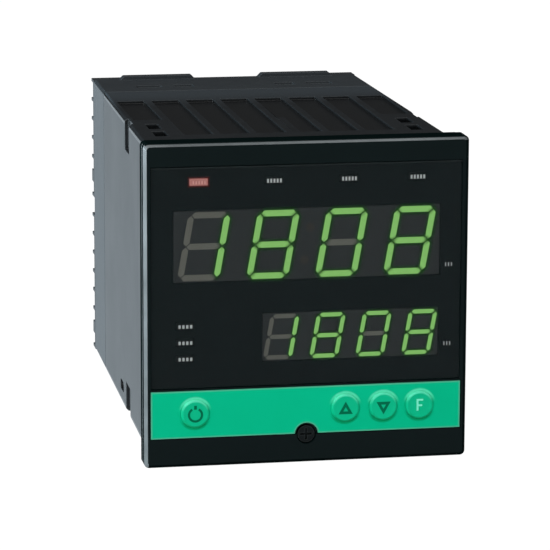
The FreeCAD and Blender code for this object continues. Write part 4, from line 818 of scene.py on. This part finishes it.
def make_key(name):
    """A key with a round rim and a shallow dish."""
    x, height = middle_of(f"key_{name}")
    crown, foot = depths_of(f"key_{name}")
    profile = key_profile(head_radius(name), crown, foot)
    mesh = bmesh.new()
    rings = []
    for radius, depth in profile[1:]:
        ring = circle(x, height, radius, KEY_POINTS)
        rings.append([mesh.verts.new(at(px, depth, pz)) for px, pz in ring])
    tip = mesh.verts.new(at(x, profile[0][1], height))
    for number in range(KEY_POINTS):
        following = (number + 1) % KEY_POINTS
        mesh.faces.new((tip, rings[0][number], rings[0][following]))
        for ring, outer in zip(rings, rings[1:]):
            mesh.faces.new((ring[number], outer[number], outer[following], ring[following]))
    mesh.faces.new(rings[-1][::-1])
    bmesh.ops.recalc_face_normals(mesh, faces=mesh.faces)
    for edge in mesh.edges:
        if len(edge.link_faces) == 2 and edge.calc_face_angle() > KEY_CREASE:
            edge.smooth = False
    piece = finish_piece(f"turned_key_{name}", mesh, "key_green", f"{name}_key")
    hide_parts(f"key_{name}")


def make_key_lips():
    """Thin lips of the strip's holes, which hide the gaps round the keys."""
    front = depths_of("key_strip")[0] + LIP_BACK
    mesh = bmesh.new()
    for name in KEY_NAMES:
        x, height = middle_of(f"key_{name}")
        head = head_radius(name)
        inner = circle(x, height, head + LIP_INSIDE, KEY_POINTS)
        outer = circle(x, height, head + LIP_OUTSIDE, KEY_POINTS)
        add_band(mesh, outer, inner, front, front + LIP_THICK)
    finish_print("key_hole_lips", mesh, "strip_green", CASE_BODY, "strip_green")


# The marks printed in the keys' dishes, in millimetres from a key's middle and in degrees.

SYMBOL_THICK = 0.03
SYMBOL_SEAT = 0.75
RING_OUTER = 2.25
RING_INNER = 1.58
RING_SHIFT = -0.25
RING_ANGLES = (120, 420)
RING_STEPS = 40
RING_BAR = (1.95, 0.8, 1.15)
TRIANGLE_OUTER = 2.45
TRIANGLE_INNER = 0.85
TRIANGLE_STRETCH = 1.03
TRIANGLE_SHIFTS = {"up": -0.55, "down": 0.2}
LETTER = ((-0.95, -1.65), (-0.35, -1.65), (-0.35, -0.3), (0.75, -0.3), (0.75, 0.25), (-0.35, 0.25),
          (-0.35, 1.35), (1.05, 1.35), (1.05, 1.9), (-0.95, 1.9))


def triangle(x, height, reach, upward):
    """Corner points of a triangle about its middle; reach is to a corner."""
    points = []
    for corner in range(3):
        angle = math.radians((90 if upward else 270) + 120 * corner)
        points.append((x + reach * math.cos(angle),
                       height + reach * TRIANGLE_STRETCH * math.sin(angle)))
    return points


def make_key_symbols():
    """A standby ring, two arrows and a plain letter."""
    dish = depths_of("key_up")[0] + KEY_DISH * SYMBOL_SEAT
    front = dish - SYMBOL_THICK
    back = dish + 2 * SYMBOL_THICK

    x, height = middle_of("key_standby")
    mesh = bmesh.new()
    outer = arc(x, height + RING_SHIFT, RING_OUTER, *RING_ANGLES, RING_STEPS)
    inner = arc(x, height + RING_SHIFT, RING_INNER, *RING_ANGLES, RING_STEPS)
    add_plate(mesh, outer + inner[::-1], front, back)
    bar_height, bar_width, bar_rise = RING_BAR
    add_plate(mesh, rectangle(x, height + bar_height, bar_width, bar_rise), front, back)
    finish_print("standby_symbol", mesh, "key_green", "standby_key", "symbol_print")

    for name, shift in TRIANGLE_SHIFTS.items():
        x, height = middle_of(f"key_{name}")
        outer, inner = (triangle(x, height + shift, reach, name == "up")
                        for reach in (TRIANGLE_OUTER, TRIANGLE_INNER))
        mesh = bmesh.new()
        add_band(mesh, outer, inner, front, back)
        finish_print(f"{name}_symbol", mesh, "key_green", f"{name}_key", "symbol_print")

    x, height = middle_of("key_function")
    mesh = bmesh.new()
    add_plate(mesh, [(x + across, height + rise) for across, rise in LETTER], front, back)
    finish_print("function_symbol", mesh, "key_green", "function_key", "pale_symbol_print")


# Bars in place of the small print on the window, and the line along its top.

LEGEND_FRONT = -0.012
LEGEND_BACK = 0.02
LEGEND_ROWS = (
    # middles of the rows; a row's width, its bars' height and number, and how much they fill
    (((-9.8, 36.4), (12.3, 36.4), (32.6, 36.4)), 4.7, 1.15, 5, 0.58),
    (((-35.9, -5.9), (-35.9, -10.75), (-35.9, -15.6)), 4.5, 1.0, 4, 0.58),
    (((42.1, 10.1), (41.9, -13.6)), 2.6, 1.1, 3, 0.32),
)
LIT_LEGEND = (4.2, 0.9, 5, 0.58)
TOP_LINE_DROP = 0.3
TOP_LINE_RISE = 0.3


def add_legend(mesh, x, height, width, rise, bars, share):
    """A short row of small upright bars, where the real one has fine print."""
    pitch = width / bars
    for number in range(bars):
        middle = x - width / 2 + pitch * (number + 0.5)
        add_plate(mesh, rectangle(middle, height, pitch * share, rise), LEGEND_FRONT, LEGEND_BACK)


def make_legends():
    """The rows on the window, and the one on the lit indicator."""
    mesh = bmesh.new()
    for middles, *row in LEGEND_ROWS:
        for x, height in middles:
            add_legend(mesh, x, height, *row)
    finish_print("window_legends", mesh, "smoked_window", CASE_BODY, "legend_print")

    mesh = bmesh.new()
    add_legend(mesh, *middle_of("light_guide_lit"), *LIT_LEGEND)
    finish_print("lit_legend", mesh, "smoked_window", CASE_BODY, "lit_guide_print")


def make_window_line():
    """The fine line along the top of the window."""
    low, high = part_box("front_window")
    top = (high.z - FACE_MIDDLE) / MM
    width = (high.x - low.x) / MM
    mesh = bmesh.new()
    line = rectangle(0, top - TOP_LINE_DROP, width, TOP_LINE_RISE)
    add_plate(mesh, line, LEGEND_FRONT, LEGEND_BACK)
    finish_print("window_top_line", mesh, "smoked_window", CASE_BODY, "window_line_print")


# Light that spreads round the lit bars, and the dots between the digits.

HALO_DEPTH = 0.98
HALO_STEP = 0.001 * MM
DISPLAY_SPREADS = {"pv": 1.2, "sp": 0.9}
INDICATOR_SPREAD = 0.8
DOT_MIDDLE = 0.2
DOT_HEIGHTS = (12.6, 22.2)
DOT_RADIUS = 1.25
DOT_POINTS = 24
DOT_FRONT = -0.06
DOT_BACK = 0.02
DIGIT_MIDDLE = 17.45
DIGIT_SLANT = 0.176


def segment_bars(node):
    """Outline points of every bar of a segment node, from its front faces."""
    mesh = copy_node(node)
    front = min(corner.co.y for corner in mesh.verts)
    bmesh.ops.dissolve_limit(mesh, angle_limit=FLAT_ANGLE, verts=mesh.verts, edges=mesh.edges)
    bars = []
    for face in mesh.faces:
        in_front = abs(face.calc_center_median().y - front) < FACE_TOLERANCE
        if abs(face.normal.y) > FRONT_NORMAL and in_front:
            bars.append([corner.co.copy() for corner in face.verts])
    mesh.free()
    return bars


def grow_outline(corners, spread):
    """A convex flat outline with every side moved outwards."""
    bluntest = 0.5
    centre = sum(corners, Vector()) / len(corners)
    grown = []
    for number, corner in enumerate(corners):
        sides = []
        for other in (corners[number - 1], corners[(number + 1) % len(corners)]):
            along = other - corner
            away = Vector((along.z, 0, -along.x)).normalized()
            sides.append(away if away.dot(corner - centre) > 0 else -away)
        middle = (sides[0] + sides[1]).normalized()
        grown.append(corner + middle * spread / max(middle.dot(sides[0]), bluntest))
    return grown


def make_halo_piece(name, bars, spread, slot, material):
    """A soft edge of light round each lit bar, fading to nothing."""
    mesh = bmesh.new()
    fade = mesh.loops.layers.float_color.new(FADE_LAYER)
    for place, bar in enumerate(bars):
        layer = FACE_PLANE + HALO_DEPTH * MM - place * HALO_STEP
        flat = [Vector((corner.x, 0, corner.z)) for corner in bar]
        inner, outer = ([mesh.verts.new((corner.x, layer, corner.z)) for corner in outline]
                        for outline in (flat, grow_outline(flat, spread * MM)))
        count = len(bar)
        for number in range(count):
            following = (number + 1) % count
            lit = (inner[number], inner[following])
            face = mesh.faces.new((*lit, outer[following], outer[number]))
            for loop in face.loops:
                level = 1.0 if loop.vert in lit else 0.0
                loop[fade] = (level, level, level, 1.0)
    finish_piece(name, mesh, slot, CASE_BODY, material, smooth=False)


def make_halos():
    """Light spread in the gap between the window's back and the bezel."""
    for display, spread in DISPLAY_SPREADS.items():
        bars = segment_bars(f"{display}_segments_lit")
        make_halo_piece(f"{display}_glow", bars, spread, "segment_lit", "green_halo")
    low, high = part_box("light_guide_lit")
    sides = ((low.x, low.z), (high.x, low.z), (high.x, high.z), (low.x, high.z))
    bar = [Vector((x, 0, z)) for x, z in sides]
    make_halo_piece("indicator_glow", [bar], INDICATOR_SPREAD, "guide_lit", "red_halo")


def make_colon_dots():
    """Two dark dots between the middle digits of the upper display."""
    front = depths_of("pv_display_left")[0]
    mesh = bmesh.new()
    for height in DOT_HEIGHTS:
        x = DOT_MIDDLE + (height - DIGIT_MIDDLE) * DIGIT_SLANT
        dot = circle(x, height, DOT_RADIUS, DOT_POINTS)
        add_plate(mesh, dot, front + DOT_FRONT, front + DOT_BACK)
    finish_print("colon_dots", mesh, "segment_unlit", CASE_BODY, "dot_print")


# The place where it stands, its light and the camera: lengths in metres, angles in
# degrees, and the lens and its sensor in millimetres.

FLOOR_REACH = 8.0
FLOOR_DROP = 0.0002
FLOOR_GLOW = 0.9
FLOOR_STRENGTH = 1.1
FLOOR_SEEN = (1.0, 1.0, 1.0, 1.0)
FLOOR_REFLECTED = (0.9, 1.03, 1.12, 1.0)
PAPER_TONES = ((0.78, 0.78, 0.78, 1.0), (0.8, 0.8, 0.8, 1.0))

WORLD_TINT = (0.96, 0.98, 1.0, 1.0)
WORLD_LOW = 0.048
WORLD_HIGH = 0.45
WORLD_HEIGHTS = (0.6, 0.95)

WHITE = (1.0, 1.0, 1.0)
LAMP_TARGET = Vector((0.0, 0.0, 0.05))
LAMPS = (
    # name, place, width, height, power and colour
    ("overhead", (0.0, -0.1, 1.3), 1.2, 0.8, 2.8, WHITE),
    ("front_left", (-0.9, -1.3, 0.9), 0.8, 0.8, 15.0, WHITE),
    ("front_right", (1.1, -1.2, 0.8), 0.8, 0.8, 5.0, WHITE),
    ("left", (-1.5, 0.1, 0.2), 0.8, 0.5, 29.0, (0.76, 0.92, 1.0)),
)

CAMERA_PLACE = (-0.17849, -1.00426, 0.2512)
CAMERA_AZIMUTH = 10.31
CAMERA_DROP = 11.65
CAMERA_ROLL = 0.19
CAMERA_LENS = 217.3
CAMERA_SENSOR = 36.0
CAMERA_CLIP = (0.01, 100.0)


def make_floor():
    """A wide white floor, bright enough to be the backdrop, with a faint shadow."""
    mesh = bmesh.new()
    corners = [(-FLOOR_REACH, -FLOOR_REACH), (FLOOR_REACH, -FLOOR_REACH),
               (FLOOR_REACH, FLOOR_REACH), (-FLOOR_REACH, FLOOR_REACH)]
    mesh.faces.new([mesh.verts.new((x, y, CAD_BOX[0][2] - FLOOR_DROP)) for x, y in corners])
    data = bpy.data.meshes.new("studio_floor")
    mesh.to_mesh(data)
    mesh.free()
    floor = add_object("studio_floor", data)
    material, tree, shader = new_material("white_floor")
    paper = noise(tree, object_place(tree), 60.0)
    tone = mix_colours(tree, paper, *PAPER_TONES)
    set_shader(tree, shader, Base_Color=tone, Roughness=1.0, Specular_IOR_Level=0.0)
    path = add_node(tree, "ShaderNodeLightPath")
    hue = mix_colours(tree, path.outputs["Is Glossy Ray"], FLOOR_SEEN, FLOOR_REFLECTED)
    glow = add_node(tree, "ShaderNodeEmission", Color=hue, Strength=FLOOR_STRENGTH)
    seen = math_node(tree, "MAXIMUM", path.outputs["Is Camera Ray"], path.outputs["Is Glossy Ray"])
    seen = math_node(tree, "MAXIMUM", seen, path.outputs["Is Transmission Ray"])
    share = math_node(tree, "MULTIPLY", seen, FLOOR_GLOW)
    mix = add_node(tree, "ShaderNodeMixShader", _0=share, _1=shader.outputs[0], _2=glow.outputs[0])
    tree.links.new(mix.outputs[0], tree.nodes["Material Output"].inputs["Surface"])
    data.materials.append(material)


def make_world():
    """Dim studio light all round, brighter overhead."""
    world = bpy.data.worlds.new("studio")
    bpy.context.scene.world = world
    world.use_nodes = True
    tree = world.node_tree
    direction = add_node(tree, "ShaderNodeTexCoord").outputs["Generated"]
    rise = parts_of(tree, direction)["Z"]
    level = smooth_step(tree, rise, *WORLD_HEIGHTS, WORLD_LOW, WORLD_HIGH)
    set_sockets(tree, tree.nodes["Background"], {"Strength": level, "Color": WORLD_TINT})


def make_lights():
    """Soft lamps, each turned to the object."""
    for name, place, width, height, power, colour in LAMPS:
        light = bpy.data.lights.new(name, "AREA")
        light.shape = "RECTANGLE"
        light.size = width
        light.size_y = height
        light.energy = power
        light.color = colour
        lamp = add_object(name, light)
        lamp.location = place
        lamp.rotation_euler = (LAMP_TARGET - Vector(place)).to_track_quat("-Z", "Y").to_euler()


def make_camera():
    """The photograph's viewing angle."""
    data = bpy.data.cameras.new("photo_camera")
    data.lens = CAMERA_LENS
    data.sensor_width = CAMERA_SENSOR
    data.clip_start, data.clip_end = CAMERA_CLIP
    camera = add_object("photo_camera", data)
    azimuth = math.radians(CAMERA_AZIMUTH)
    drop = math.radians(CAMERA_DROP)
    forward = Vector((math.sin(azimuth) * math.cos(drop), math.cos(azimuth) * math.cos(drop),
                      -math.sin(drop)))
    turn = forward.to_track_quat("-Z", "Y").to_matrix().to_4x4()
    camera.matrix_world = (Matrix.Translation(CAMERA_PLACE) @ turn
                           @ Matrix.Rotation(math.radians(CAMERA_ROLL), 4, "Z"))
    bpy.context.scene.camera = camera


def make_scene():
    """Everything that is seen, in order."""
    dress_nodes()
    for node, width, thinner in ROUND_EDGES:
        soften(node, width, thinner)
    for name in KEY_NAMES:
        make_key(name)
    make_key_lips()
    make_key_symbols()
    make_legends()
    make_halos()
    make_colon_dots()
    make_window_line()
    make_floor()
    make_world()
    make_lights()
    make_camera()
    bpy.context.scene.view_settings.view_transform = "Standard"


make_scene()
